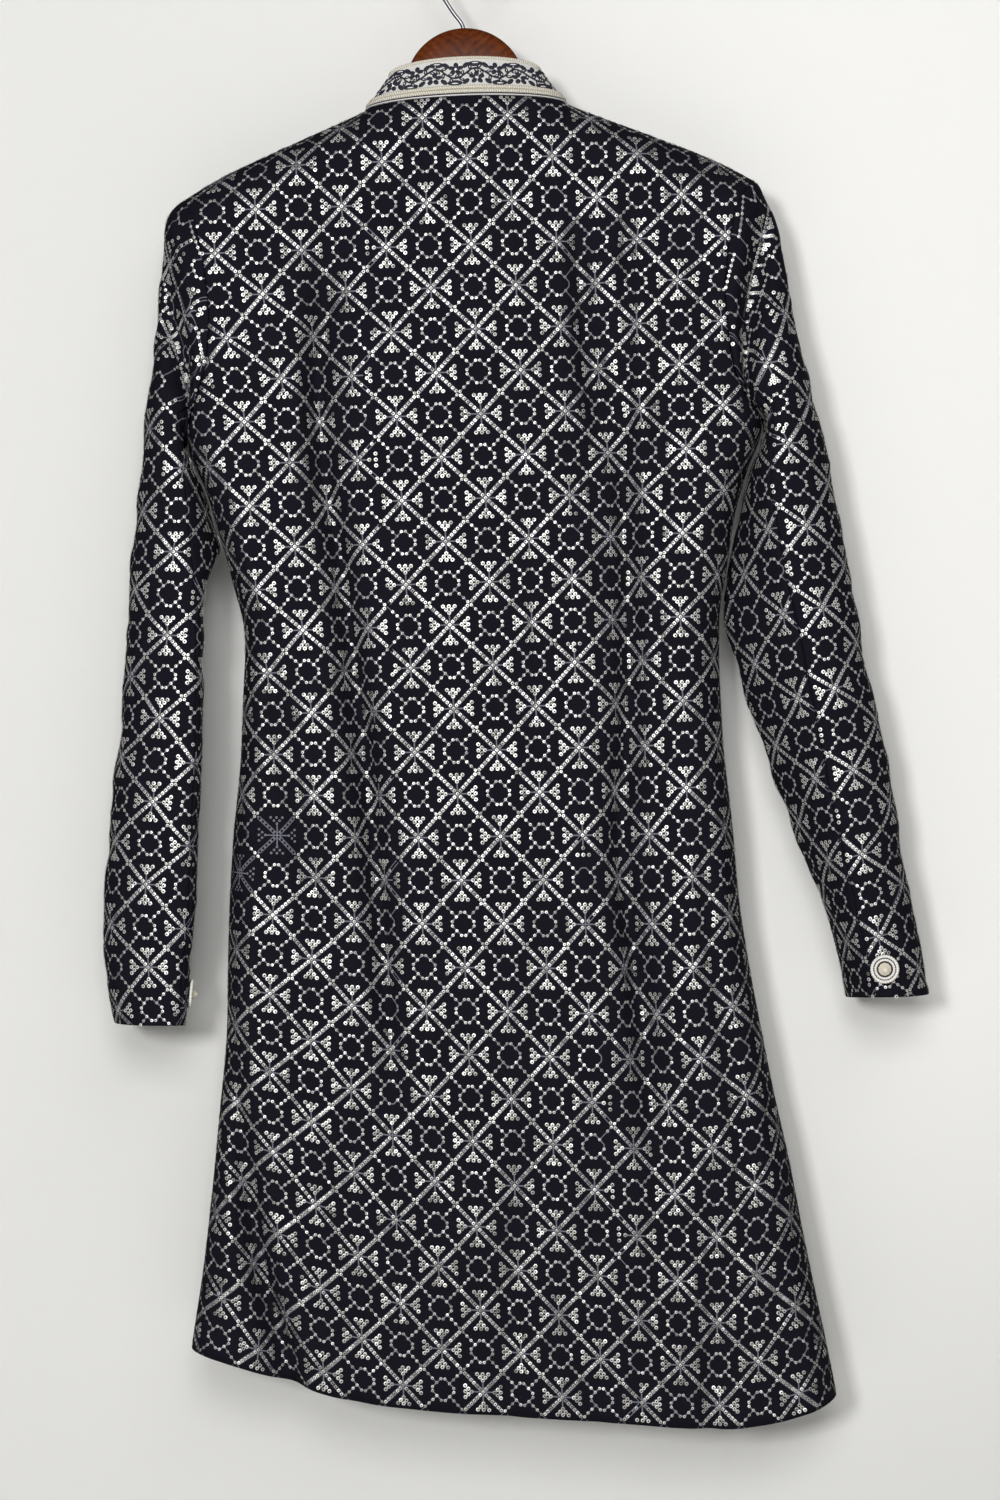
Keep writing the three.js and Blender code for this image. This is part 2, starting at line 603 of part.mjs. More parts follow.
function roundButton(profile, sides) {
  const points = profile.map(([r, z]) => new THREE.Vector2(r, z));
  const geometry = new THREE.LatheGeometry(points, sides);
  geometry.rotateX(Math.PI / 2);
  geometry.deleteAttribute('normal');
  geometry.deleteAttribute('uv');
  return mergeVertices(geometry, 1e-4);
}
const cuffButtonProfile = [[0, 0], [9, 0], [11.3, 1.1], [11.5, 2.2], [10.4, 3.6], [8.6, 3.4], [6.4, 3.6], [5.4, 6], [3.2, 7.6], [0, 8.2]];
const frontButtonProfile = [[0, 0], [4.4, 0], [5.6, 1], [5.4, 2.6], [3.4, 4.2], [0, 4.8]];

function seat(mesh, point, normal, lift) {
  mesh.position.copy(point).addScaledVector(normal, lift);
  mesh.quaternion.setFromUnitVectors(new THREE.Vector3(0, 0, 1), normal);
}

// A place on a sleeve's facets, between its rings and its columns.
function onSleeve({ rings, normals }, row, column) {
  const at = (list, i, j) => list[i][j].clone().lerp(list[i][j + 1], column - j);
  const i = Math.floor(row * (rings.length - 1));
  const t = row * (rings.length - 1) - i;
  const j = Math.floor(column);
  return {
    point: at(rings, i, j).lerp(at(rings, i + 1, j), t),
    normal: at(normals, i, j).lerp(at(normals, i + 1, j), t).normalize(),
  };
}

// Rests a cuff button on whatever part of the sleeve stands highest under it.
function seatOnSleeve(button, sleeve, { row, column }) {
  const { point, normal } = onSleeve(sleeve, row, column);
  const radius = cuffButtonProfile[2][0];
  const steps = [...Array(41).keys()].map((k) => k / 20 - 1);
  const under = steps.flatMap((a) => steps.map((b) => onSleeve(sleeve, Math.min(row + a * 0.05, 0.999), column + b * 1.6).point));
  const heights = under
    .map((p) => p.sub(point))
    .filter((p) => p.clone().projectOnPlane(normal).length() < radius + 1)
    .map((p) => p.dot(normal));
  seat(button, point, normal, Math.max(...heights) + seamGap);
}

// ---- hanger -----------------------------------------------------------------------------------

const armStations = [
  { x: 0, depth: 7, height: 52 },
  { x: 43, depth: 7, height: 46 },
  { x: 62, depth: 7, height: 34 },
  { x: 90, depth: 8, height: 29 },
  { x: 150, depth: 10, height: 26 },
  { x: 196, depth: 11, height: 23 },
  { x: armHalfLength, depth: 8, height: 15 },
];

// The top of the wood: a round arch that runs out into the arms under the shoulder seams.
function woodTop(x) {
  const arch = archCentreZ + Math.sqrt(Math.max(archRadius ** 2 - x ** 2, 0));
  const seamRest = clothWall + seamGap + 2;
  const arm = read(shoulderSeam, 'z', Math.max(x, neckHalfWidth), 'x') - seamRest;
  const flank = [
    { x: 42, z: archCentreZ + Math.sqrt(archRadius ** 2 - 42 ** 2) },
    { x: 50, z: -119 },
    { x: 58, z: -131 },
    { x: 68, z: -138.5 },
    { x: neckHalfWidth, z: neckSideZ - seamRest },
  ];
  if (x < 42) return arch;
  return x < neckHalfWidth ? read(flank, 'z', x, 'x') : arm;
}

function woodGeometry() {
  const sides = 14;
  const xs = [0, 12, 22, 31, 38, 43, 48, 54, 60, 67, 74, 86, 105, 130, 155, 180, 197, 205, armHalfLength];
  const all = [...xs.slice(1).map((x) => -x).reverse(), ...xs];
  const rings = all.map((x) => {
    const depth = read(armStations, 'depth', Math.abs(x), 'x');
    const height = read(armStations, 'height', Math.abs(x), 'x');
    const centreZ = woodTop(Math.abs(x)) - height / 2;
    return [...Array(sides).keys()].map((k) => {
      const angle = (Math.PI * 2 * k) / sides;
      const round = (v) => Math.sign(v) * Math.abs(v) ** 0.8;
      return new THREE.Vector3(x, depth * round(Math.sin(angle)), centreZ + (height / 2) * round(Math.cos(angle)));
    });
  });
  return solidThroughRings(rings);
}

async function drilled(geometry, hole) {
  const wasm = await Module();
  wasm.setup();
  const solid = (source) => {
    const merged = mergeVertices(source, 1e-4);
    return new wasm.Manifold(
      new wasm.Mesh({ numProp: 3, vertProperties: merged.attributes.position.array, triVerts: new Uint32Array(merged.index.array) }),
    );
  };
  const mesh = solid(geometry).subtract(solid(hole)).getMesh();
  const result = new THREE.BufferGeometry();
  result.setAttribute('position', new THREE.Float32BufferAttribute(mesh.vertProperties, 3));
  result.setIndex([...mesh.triVerts]);
  return result;
}

async function hangerWood() {
  const holeDepth = 16;
  const holeRadius = wireRadius + 0.6;
  const hole = new THREE.CylinderGeometry(holeRadius, holeRadius, holeDepth * 2, 16);
  hole.rotateX(Math.PI / 2);
  hole.translate(0, 0, woodTop(0));
  hole.deleteAttribute('normal');
  hole.deleteAttribute('uv');
  return drilled(woodGeometry(), hole);
}

function hookGeometry() {
  const centreZ = wireRadius - hookRadius;
  const arc = [];
  for (let degrees = hookArc.from; degrees >= hookArc.to; degrees -= hookArc.step) {
    const angle = THREE.MathUtils.degToRad(degrees);
    arc.push(new THREE.Vector3(hookRadius * Math.cos(angle), 0, centreZ + hookRadius * Math.sin(angle)));
  }
  const path = new THREE.CatmullRomCurve3([...hookLean.map(({ x, z }) => new THREE.Vector3(x, 0, z)), ...arc]);
  const section = new THREE.Shape([...Array(8).keys()].map((k) => {
    const angle = (Math.PI * 2 * k) / 8;
    return new THREE.Vector2(wireRadius * Math.cos(angle), wireRadius * Math.sin(angle));
  }));
  const geometry = new THREE.ExtrudeGeometry(section, { steps: 40, bevelEnabled: false, extrudePath: path });
  geometry.deleteAttribute('normal');
  geometry.deleteAttribute('uv');
  return mergeVertices(geometry, 1e-4);
}

// ---- the object -------------------------------------------------------------------------------

const kurta = new THREE.Group();

function add(name, geometry, material) {
  const mesh = new THREE.Mesh(geometry, material);
  mesh.name = name;
  kurta.add(mesh);
  return mesh;
}

add('back_panel', solidBetween(backPanel.outer, backPanel.inner), finishes.navyCloth());
add('front_panel', solidBetween(frontPanel.outer, frontPanel.inner), finishes.navyCloth());

for (const side of ['left', 'right']) {
  const top = sleevePiece(sleeves[side], frontSeam - ringSize, elbowSeam);
  const under = sleevePiece(sleeves[side], elbowSeam, frontSeam);
  add(`${side}_top_sleeve`, solidBetween(top.outer, top.inner), finishes.navyCloth());
  add(`${side}_under_sleeve`, solidBetween(under.outer, under.inner), finishes.navyCloth());
  const button = add(`${side}_cuff_button`, roundButton(cuffButtonProfile, 20), finishes.pearl());
  seatOnSleeve(button, sleeves[side], cuffButtonPlace[side]);
}

const collar = collarPiece();
add('collar', solidBetween(collar.outer, collar.inner), finishes.creamBand());

const strip = placketPiece();
add('front_placket', solidBetween(strip.outer, strip.inner), finishes.navyCloth());
frontButtonLevels.forEach((z, k) => {
  const rows = frontPanel.outer.map((row) => row[(row.length - 1) / 2].z);
  const i = rows.findIndex((height) => height < z);
  const t = (z - rows[i - 1]) / (rows[i] - rows[i - 1]);
  const [above, below] = [onPanel(frontPanel, i - 1, 0), onPanel(frontPanel, i, 0)];
  const point = above.point.lerp(below.point, t);
  const button = add(`front_button_${k + 1}`, roundButton(frontButtonProfile, 12), finishes.pearl());
  seat(button, point, new THREE.Vector3(0, 1, 0), clothWall + seamGap * 2 + 0.2);
});

add('hanger_wood', await hangerWood(), finishes.mahogany());
add('hanger_hook', hookGeometry(), finishes.steelWire());

export default kurta;
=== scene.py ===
import json
import math
from functools import partialmethod

import bmesh
import bpy
import numpy as np
from mathutils import Matrix, Vector, noise

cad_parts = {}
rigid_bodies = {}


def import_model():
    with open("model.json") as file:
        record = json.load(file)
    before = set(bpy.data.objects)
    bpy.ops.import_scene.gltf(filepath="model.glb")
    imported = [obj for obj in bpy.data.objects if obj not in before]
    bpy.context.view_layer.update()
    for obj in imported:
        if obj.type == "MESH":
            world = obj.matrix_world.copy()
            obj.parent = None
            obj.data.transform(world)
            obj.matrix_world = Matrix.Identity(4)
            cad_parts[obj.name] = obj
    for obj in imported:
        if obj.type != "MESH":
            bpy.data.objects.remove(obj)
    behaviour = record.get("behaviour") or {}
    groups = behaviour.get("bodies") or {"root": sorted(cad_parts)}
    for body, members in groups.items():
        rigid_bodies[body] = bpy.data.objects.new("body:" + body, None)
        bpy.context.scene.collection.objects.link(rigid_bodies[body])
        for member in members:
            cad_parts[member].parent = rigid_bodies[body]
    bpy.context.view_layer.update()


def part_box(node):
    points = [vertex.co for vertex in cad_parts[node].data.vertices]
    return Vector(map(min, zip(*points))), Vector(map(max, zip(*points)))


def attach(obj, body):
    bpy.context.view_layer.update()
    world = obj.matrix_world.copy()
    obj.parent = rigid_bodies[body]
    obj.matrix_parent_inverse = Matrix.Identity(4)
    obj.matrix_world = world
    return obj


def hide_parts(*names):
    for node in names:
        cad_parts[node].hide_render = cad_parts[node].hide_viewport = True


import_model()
print("stage: frame loaded")

mm = 0.001
random = np.random.default_rng(7)


# A cubic from a to b, with the slopes m and n at its ends.
def cubic(a, b, m, n, t):
    return (
        (2 * t**3 - 3 * t**2 + 1) * a + (t**3 - 2 * t**2 + t) * m
        + (3 * t**2 - 2 * t**3) * b + (t**3 - t**2) * n
    )


# Rows of named columns, read on a smooth curve that never overshoots them.
class Table:
    def __init__(self, columns, *rows):
        self.names = columns.split()
        values = np.array(rows, float)
        if values[0, 0] > values[-1, 0]:
            values = values[::-1]
        self.columns = dict(zip(self.names, values.T))

    def read(self, name, at):
        x, y = self.columns[self.names[0]], self.columns[name]
        rise = np.diff(y) / np.diff(x)
        slope = np.zeros_like(y)
        slope[0], slope[-1] = rise[0], rise[-1]
        before, after = rise[:-1], rise[1:]
        steady = before * after > 0
        slope[1:-1][steady] = (2 * before * after / np.where(steady, before + after, 1))[steady]
        at = np.clip(at, x[0], x[-1])
        k = np.clip(np.searchsorted(x, at, side="right") - 1, 0, len(x) - 2)
        span = x[k + 1] - x[k]
        return cubic(y[k], y[k + 1], span * slope[k], span * slope[k + 1], (at - x[k]) / span)


def smooth(t):
    c = np.clip(t, 0, 1)
    return c * c * (3 - 2 * c)


def quarter(t):
    return np.sqrt(1 - (1 - np.clip(t, 0, 1)) ** 2)


def mix(a, b, t):
    return a + (b - a) * t


def running(steps, axis=0):
    return np.insert(np.cumsum(steps, axis), 0, 0, axis=axis)


def anglesRound(sides):
    return np.arange(sides) * 2 * math.pi / sides


# A smooth curve that passes through all the places, read at the steps t.
def curveThrough(places, t):
    last = len(places) - 1
    k = np.minimum(t.astype(int), last - 1)
    w = (t - k).reshape(-1, *[1] * (places.ndim - 1))
    p0, p1, p2, p3 = places[np.maximum(k - 1, 0)], places[k], places[k + 1], places[np.minimum(k + 2, last)]
    return cubic(p1, p2, (p2 - p0) / 2, (p3 - p1) / 2, w)


# Sizes that the solids are cut to, in millimetres.
clothWall = 1.5
seamGap = 0.5
neckHalfWidth = 78
neckHalfDepth = 30
neckSideZ = -137
backNeckRise = 3.2
frontNeckDrop = 66
shoulderHalf = 221
shoulderZ = -202
shoulderRound = 30
sideTurn = {"left": 24, "right": 27}
signs = {"back": -1, "front": 1, "left": -1, "right": 1}
slitTopZ = -806
hemLevel = -1120
underarmZ = -392

bodyEdge = Table(
    "z left right",
    (shoulderZ, 221, 221), (-228, 211, 205), (-265, 205, 197), (-292, 203, 194), (-331, 206, 196),
    (-352, 212, 199), (-372, 220, 208), (underarmZ, 226, 222), (-430, 213, 208.5), (-466, 203.5, 197.5),
    (-497, 196, 192), (-545, 187, 183.5), (-590, 190, 182.4), (-642, 194, 183.5), (-700, 201.6, 188),
    (-762, 207, 191.5), (slitTopZ, 209.5, 196.5), (-850, 211.5, 203), (-912, 218.4, 213),
    (-966, 225, 223), (-1030, 234.2, 233), (-1096, 245.9, 244.5), (-1150, 253, 253.5),
)
shoulderSeam = Table(
    "x z",
    (neckHalfWidth, neckSideZ - seamGap * 1.4), (92, -143.8), (140, -163.5), (185, -182.5), (203, -191.5),
    (shoulderHalf, shoulderZ),
)
hemLine = Table(
    "across z",
    (-1, -1091), (-0.8, -1107.5), (-0.53, -1130), (-0.225, -1143), (0.025, -1148.5), (0.35, -1157),
    (0.66, -1164), (0.8, -1160.5), (1, -1146),
)
bodyDepth = Table(
    "z back front",
    (-230, -35, 29), (underarmZ, -38, 30), (-560, -39, 32), (slitTopZ, -42, 34), (-1120, -46, 36),
)
edgeDepth = Table(
    "z backleft backright frontleft frontright",
    (-340, -34.5, -34.5, 29, 29), (-360, -31, -31, 26, 26), (-376, -22, -22, 19, 19),
    (-386, -10, -10, 11, 11), (underarmZ, 3, 3, 3, 3), (slitTopZ, 3, 3, 3, 3), (-930, -12, 0, 11, 9),
    (-1150, -26, -6, 16, 14),
)
# topZ, lowZ, topX, midX, lowX, width, push, fadeTop, fadeLow
folds = {
    "back": [
        (-172, -900, -110, -119, -62, 16, 11, 190, 260),
        (-215, -1090, 82, 120, 117, 18, 12.5, 120, 330),
        (-480, -830, -168, -150, -131, 14, 4.5, 110, 120),
        (-430, -760, 21, 16, 10, 11, 2, 120, 140),
        (-930, -1180, -196, -192, -160, 11, 15, 150, 0),
        (-760, -1180, -18, 2, 14, 34, -5, 200, 0),
    ],
    "front": [
        (-200, -980, 104, 116, 84, 18, 8, 90, 300),
        (-220, -1060, -92, -112, -120, 20, 8, 120, 320),
        (-860, -1180, 170, 176, 160, 18, 10, 150, 0),
        (-800, -1180, -30, -24, -10, 32, -5, 200, 0),
    ],
}
armholeLevels = [shoulderZ, -208, -217, -229, -245, -265, -288, -311, -333, -353, -371, -384, underarmZ]
panelLevels = armholeLevels + [
    -408, -430, -460, -497, -540, -590, -640, -695, -750, slitTopZ, -860, -915, -970, -1025, -1075, hemLevel,
]

# Narrower creases in the same panels: widths to the left and right, depth, fades at the top and
# the bottom, and then the places as z, x pairs.
creases = {
    "back": [
        (10, 8, 14.0, 170, 260, (-210, -107), (-270, -112), (-353, -122), (-424, -119), (-482, -110),
         (-565, -102), (-658, -94), (-751, -89), (-870, -83), (-1000, -78)),
        (6, 8, 6.5, 60, 60, (-200, 80), (-300, 84), (-372, 90), (-430, 104)),
        (6, 5, 4.5, 60, 80, (-190, 124), (-300, 119), (-408, 116), (-470, 113)),
        (8, 11, 13.5, 130, 260, (-340, 95), (-408, 109), (-525, 112), (-607, 109), (-712, 99), (-818, 107),
         (-935, 115), (-1040, 123)),
        (8, 6, 3.0, 120, 160, (-300, 138), (-420, 141), (-600, 132), (-760, 136)),
        (6, 9, 3.0, 120, 120, (-400, 30), (-520, 27), (-710, 29)),
        (8, 6, 2.4, 120, 140, (-430, -60), (-560, -52), (-720, -38)),
        (8, 9, 5.0, 80, 120, (-530, -172), (-620, -160), (-720, -143), (-800, -132)),
        (8, 7, 4.0, 120, 160, (-640, 168), (-760, 164), (-900, 178), (-1040, 190)),
        (9, 9, 12.0, 110, 0, (-820, -203), (-900, -202), (-960, -197), (-1018, -190), (-1049, -184),
         (-1087, -173), (-1128, -163), (-1180, -150)),
        (13, 10, 4.5, 160, 0, (-900, 20), (-1000, 10), (-1170, -6)),
        (9, 11, 5.0, 140, 0, (-940, 150), (-1050, 160), (-1180, 150)),
        (8, 6, 2.2, 60, 120, (-150, -40), (-220, -46), (-320, -60)),
    ],
    "front": [
        (9, 8, 7.0, 90, 240, (-210, 102), (-340, 112), (-520, 116), (-700, 104), (-900, 88)),
        (8, 10, 7.0, 120, 260, (-230, -92), (-360, -104), (-560, -114), (-760, -118), (-980, -122)),
        (10, 8, 7.0, 140, 0, (-820, 168), (-1000, 176), (-1180, 162)),
        (8, 7, 3.0, 160, 200, (-560, 40), (-760, 46), (-960, 58)),
        (9, 11, 4.5, 180, 0, (-560, -44), (-800, -50), (-1180, -66)),
    ],
}


sleeveHead = {
    "left": [(0.2, 229, -208.5, 0), (0.38, 234.5, -216, 2), (0.6, 238.5, -236, 16), (0.8, 244, -275, 4)],
    "right": [(0.17, 226, -208.5, 2), (0.36, 232, -219, 18), (0.57, 239.5, -239, 4), (0.78, 245, -280, 0)],
}
# outer, crease and inner places as x, z pairs, then the near and far depth
sleeveSections = {
    "left": [
        (251.5, -335, 229, -374, 223, -407, -36, 36),
        (259, -391, 228, -402, 216, -428, -37, 39),
        (267, -446, 224, -446, 208, -453, -38, 41),
        (274, -493, 222, -487, 202, -475, -39, 43),
        (277, -524, 221, -516, 217, -498, -40, 44),
        (280, -556, 220.5, -553, 221.5, -547, -41, 45),
        (284, -602, 222, -602, 223.5, -602, -42, 46),
        (291, -648, 225.5, -648, 227, -648, -42, 46),
        (297, -692, 228.5, -692, 230, -692, -41, 45),
        (302, -734, 232.5, -735, 234, -735, -40, 43),
        (304.5, -776, 237.5, -778, 239, -778, -39, 41),
        (303, -808, 241, -811, 242.5, -812, -38, 39),
        (298.6, -839.5, 244.5, -841.5, 246, -844, -38, 38),
    ],
    "right": [
        (254, -338, 226, -384, 219.5, -407, -40, 36),
        (266, -390, 225, -412, 212, -428, -42, 40),
        (275.5, -445, 223.5, -447, 204, -453, -43, 43),
        (282, -494, 229, -492, 195.5, -490, -44, 45),
        (289.5, -535, 236.5, -535, 187.5, -537, -44, 46),
        (293.5, -571, 243, -571, 195, -571, -44, 46),
        (300.5, -611, 249.5, -611, 206, -611, -44, 46),
        (308.5, -650, 255.5, -650, 217, -650, -43, 46),
        (314.5, -690, 262.5, -690, 230, -690, -42, 45),
        (318, -730, 269.5, -730, 243, -730, -41, 43),
        (324, -769, 277.5, -770, 258, -770, -40, 41),
        (331, -806, 284.5, -808, 267.5, -806, -39, 39),
        (336, -839, 291, -838.5, 272.7, -841, -38, 38),
    ],
}
innerEdgeY = 7
sleeveClearance = 1.6

collarTop = {"halfWidth": 58, "halfDepth": 17, "sideZ": -110, "backRise": 8.5, "frontDrop": 58}
collarWall = 2


def plug(tree, slot, value):
    if isinstance(value, Wire):
        tree.links.new(value.socket, slot)
    else:
        slot.default_value = value


# One wire of a shader's node tree, which sums as Python numbers do.
class Wire:
    def __init__(self, tree, socket):
        self.tree = tree
        self.socket = socket

    def sum(self, operation, *others):
        node = self.tree.nodes.new("ShaderNodeMath")
        node.operation = operation
        for slot, value in zip(node.inputs, (self, *others)):
            plug(self.tree, slot, value)
        return Wire(self.tree, node.outputs[0])

    def __rsub__(self, other):
        return self.sum("MULTIPLY", -1.0).sum("ADD", other)

    __add__ = partialmethod(sum, "ADD")
    __sub__ = partialmethod(sum, "SUBTRACT")
    __mul__ = partialmethod(sum, "MULTIPLY")
    __truediv__ = partialmethod(sum, "DIVIDE")
    __lt__ = partialmethod(sum, "LESS_THAN")
    __gt__ = partialmethod(sum, "GREATER_THAN")
    __abs__ = partialmethod(sum, "ABSOLUTE")


# The numbers of a mix node's sockets when it mixes colours.
mixSlots = {"factor": 0, "first": 6, "second": 7, "result": 2}


class Finish:
    def __init__(self, name, **values):
        self.material = bpy.data.materials.new(name)
        self.material.use_nodes = True
        self.tree = self.material.node_tree
        self.shader = self.tree.nodes["Principled BSDF"]
        for key, value in values.items():
            self.shader.inputs[key.replace("_", " ")].default_value = value

    def node(self, kind, settings=None, output=0, **sockets):
        made = self.tree.nodes.new(kind)
        for key, value in (settings or {}).items():
            setattr(made, key, value)
        for key, value in sockets.items():
            plug(self.tree, made.inputs[key.replace("_", " ")], value)
        return Wire(self.tree, made.outputs[output])

    def blend(self, factor, first, second):
        made = self.tree.nodes.new("ShaderNodeMix")
        made.data_type = "RGBA"
        for key, value in (("factor", factor), ("first", first), ("second", second)):
            plug(self.tree, made.inputs[mixSlots[key]], value)
        return Wire(self.tree, made.outputs[mixSlots["result"]])

    def feed(self, **wires):
        for key, wire in wires.items():
            self.tree.links.new(wire.socket, self.shader.inputs[key.replace("_", " ")])

    def place(self):
        return self.node("ShaderNodeUVMap", {"uv_map": "lattice"})

    def split(self, vector):
        made = self.tree.nodes.new("ShaderNodeSeparateXYZ")
        plug(self.tree, made.inputs[0], vector)
        return [Wire(self.tree, socket) for socket in made.outputs]

    def bump(self, height, strength, distance):
        return self.node("ShaderNodeBump", Height=height, Strength=strength, Distance=distance)


def colour(red, green, blue):
    return (red, green, blue, 1.0)


# Navy cotton with the pale threads that join its sequins.
clothLooks = {
    "navy": colour(0.0030, 0.0028, 0.0060),
    "navyLight": colour(0.0090, 0.0084, 0.0150),
    "thread": colour(0.16, 0.16, 0.19),
    # shares of the lattice's pitch
    "threadHalf": 0.016, "stemEnd": 0.28, "armAside": 0.052, "armEnd": 0.465, "chainStart": 0.15,
    "rimReach": 0.32, "rimEnd": 0.27, "sideAt": 0.266, "sideEnd": 0.06,
    "roughness": 0.86,
    "weaveScale": 26.0,
    "bump": 0.35,
}


def clothFinish():
    looks = clothLooks
    cloth = Finish("navy_cloth", Roughness=looks["roughness"], Specular_IOR_Level=0.1)
    uv = cloth.place()
    x, y, _ = cloth.split(uv)
    column, row = x.sum("ROUND"), y.sum("ROUND")
    a, b = abs(x - column), abs(y - row)
    high, low = a.sum("MAXIMUM", b), a.sum("MINIMUM", b)
    both = column + row
    odd = abs(both - (both / 2.0).sum("ROUND") * 2.0)
    half = looks["threadHalf"]
    stems = (low < half) * (high < looks["stemEnd"])
    arms = (abs(high - low - looks["armAside"]) < half * 0.9) * (high < looks["armEnd"])
    chain = (high - low < half) * (high > looks["chainStart"])
    rim = (abs(high + low - looks["rimReach"]) < half * 1.3) * (high < looks["rimEnd"])
    side = (abs(high - looks["sideAt"]) < half * 0.9) * (low < looks["sideEnd"])
    cross = (1.0 - odd) * stems.sum("MAXIMUM", arms)
    ring = odd * chain.sum("MAXIMUM", rim).sum("MAXIMUM", side)
    threads = cross.sum("MAXIMUM", ring)
    weave = cloth.node("ShaderNodeTexNoise", Vector=uv, Scale=looks["weaveScale"], Detail=3.0)
    patches = cloth.node("ShaderNodeTexNoise", Vector=uv, Scale=0.45, Detail=2.0)
    ground = cloth.blend(weave * 0.6 + patches * 0.4, looks["navy"], looks["navyLight"])
    cloth.feed(Base_Color=cloth.blend(threads, ground, looks["thread"]))
    cloth.feed(Normal=cloth.bump(weave + threads * 0.8, looks["bump"], 0.0004))
    return cloth.material


# Sequin finishes: the brightest and the greyest are lit-looking and shaded-looking copies of the silver, as
# painted light and painted shade; stitch is plain thread.
sequinLooks = {
    "bright": dict(Base_Color=colour(0.74, 0.73, 0.70), Metallic=0.55, Roughness=0.44),
    "silver": dict(Base_Color=colour(0.47, 0.46, 0.44), Metallic=0.6, Roughness=0.45),
    "paintedShade": dict(Base_Color=colour(0.30, 0.295, 0.28), Metallic=0.65, Roughness=0.46),
    "stitch": dict(Base_Color=colour(0.22, 0.22, 0.26), Metallic=0.0, Roughness=0.8),
}
navyCloth = clothFinish()
sequinFinishes = [Finish("sequin_" + name, **looks).material for name, looks in sequinLooks.items()]


def unit(vectors):
    return vectors / np.maximum(np.linalg.norm(vectors, axis=-1, keepdims=True), 1e-9)


def gridNormals(points, closed=False):
    if closed:
        around = np.roll(points, -1, 1) - np.roll(points, 1, 1)
    else:
        around = np.gradient(points, axis=1)
    return unit(np.cross(around, np.gradient(points, axis=0)))


# The same normals, turned so that they face the given way along Y at one place.
def facingNormals(points, row, column, way, closed=False):
    normals = gridNormals(points, closed)
    return normals if (normals[row, column, 1] > 0) == (way > 0) else -normals


def shadeSmooth(mesh):
    mesh.polygons.foreach_set("use_smooth", [True] * len(mesh.polygons))


def placed(name, mesh, *materials):
    for material in materials:
        mesh.materials.append(material)
    piece = bpy.data.objects.new(name, mesh)
    bpy.context.scene.collection.objects.link(piece)
    return piece


def riding(name, mesh, *materials):
    piece = placed(name, mesh, *materials)
    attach(piece, "root")
    return piece


# A thin shell on a grid of points in millimetres, wound so that its faces look along the normals.
def clothShell(name, points, normals, uv, material, wall=clothWall):
    rows, columns = points.shape[:2]
    bm = bmesh.new()
    bmesh.ops.create_grid(bm, x_segments=columns - 1, y_segments=rows - 1, size=1)
    bm.verts.ensure_lookup_table()
    for vert, place in zip(bm.verts, (points * mm).reshape(-1, 3)):
        vert.co = place
    mesh = bpy.data.meshes.new(name)
    bm.normal_update()
    middle = (rows // 2) * (columns - 1) + (columns - 1) // 2
    bm.faces.ensure_lookup_table()
    face = bm.faces[min(middle, len(bm.faces) - 1)]
    if face.normal.dot(Vector(normals.reshape(-1, 3)[face.verts[0].index])) < 0:
        bmesh.ops.reverse_faces(bm, faces=bm.faces[:])
    bm.to_mesh(mesh)
    bm.free()
    layer = mesh.uv_layers.new(name="lattice")
    corners = np.empty(len(mesh.loops), int)
    mesh.loops.foreach_get("vertex_index", corners)
    layer.data.foreach_set("uv", uv.reshape(-1, 2)[corners].ravel())
    shadeSmooth(mesh)
    piece = placed(name, mesh, material)
    solid = piece.modifiers.new("wall", "SOLIDIFY")
    solid.thickness = wall * mm
    solid.offset = -1
    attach(piece, "root")
    return piece


# Small copies of one form, joined in one mesh. Every argument from places on, apart from the
# materials, holds a row for each copy.
def scattered(name, form, faces, places, normals, level, turns, sizes, materials, choice):
    up = np.cross(normals, level)
    c, s = np.cos(turns)[:, None], np.sin(turns)[:, None]
    axes = level * c + up * s, up * c - level * s, normals
    reach = [form[None, :, k, None] * (axes[k] * sizes[:, k, None])[:, None] for k in range(3)]
    verts = (places[:, None] + reach[0] + reach[1] + reach[2]) * mm
    count, size = len(places), len(form)
    lengths = np.tile([len(f) for f in faces], count)
    flat = np.concatenate([np.array(f) for f in faces])
    loops = (flat[None] + (np.arange(count) * size)[:, None]).ravel()
    mesh = bpy.data.meshes.new(name)
    mesh.vertices.add(count * size)
    mesh.vertices.foreach_set("co", verts.ravel())
    mesh.loops.add(len(loops))
    mesh.loops.foreach_set("vertex_index", loops)
    mesh.polygons.add(len(lengths))
    starts = np.concatenate([[0], np.cumsum(lengths)[:-1]])
    mesh.polygons.foreach_set("loop_start", starts)
    for material in materials:
        mesh.materials.append(material)
    mesh.polygons.foreach_set("material_index", np.repeat(choice, len(faces)))
    mesh.update(calc_edges=True)
    mesh.validate()
    return riding(name, mesh)


# The lattice's cell is a cross of sequins or a ring of them, in turn.
# Places in a cell are shares of the pitch.
chart = {
    "arm": [0.074 + 0.0745 * k for k in range(6)],
    "heart": [(0.288, 0), (0.366, 0.068), (0.366, -0.068), (0.443, 0), (0.443, 0.14), (0.443, -0.14)],
    "ringSide": (0.266, 0.05),
    "ringChain": (0.16, 0.262, 0.362, 0.46),
}
latticePitch = Table("z pitch", (-250, 32.85), (-1050, 30.5))
latticeCentre = Table("z x", (-160, -1.0), (-310, 1.5), (-418, 4.2), (-470, 5.0), (-1020, 9.2))
latticeTopZ = -315.2
sequin = {
    "armRadius": 1.43, "heartRadius": 1.62, "ringRadius": 1.26,
    "hole": 0.42, "rim": 0.34, "crown": 0.42, "sides": 6, "tilt": 0.08, "stitch": 0.62,
    "level": (0.31, 0.94, 0.13),
}
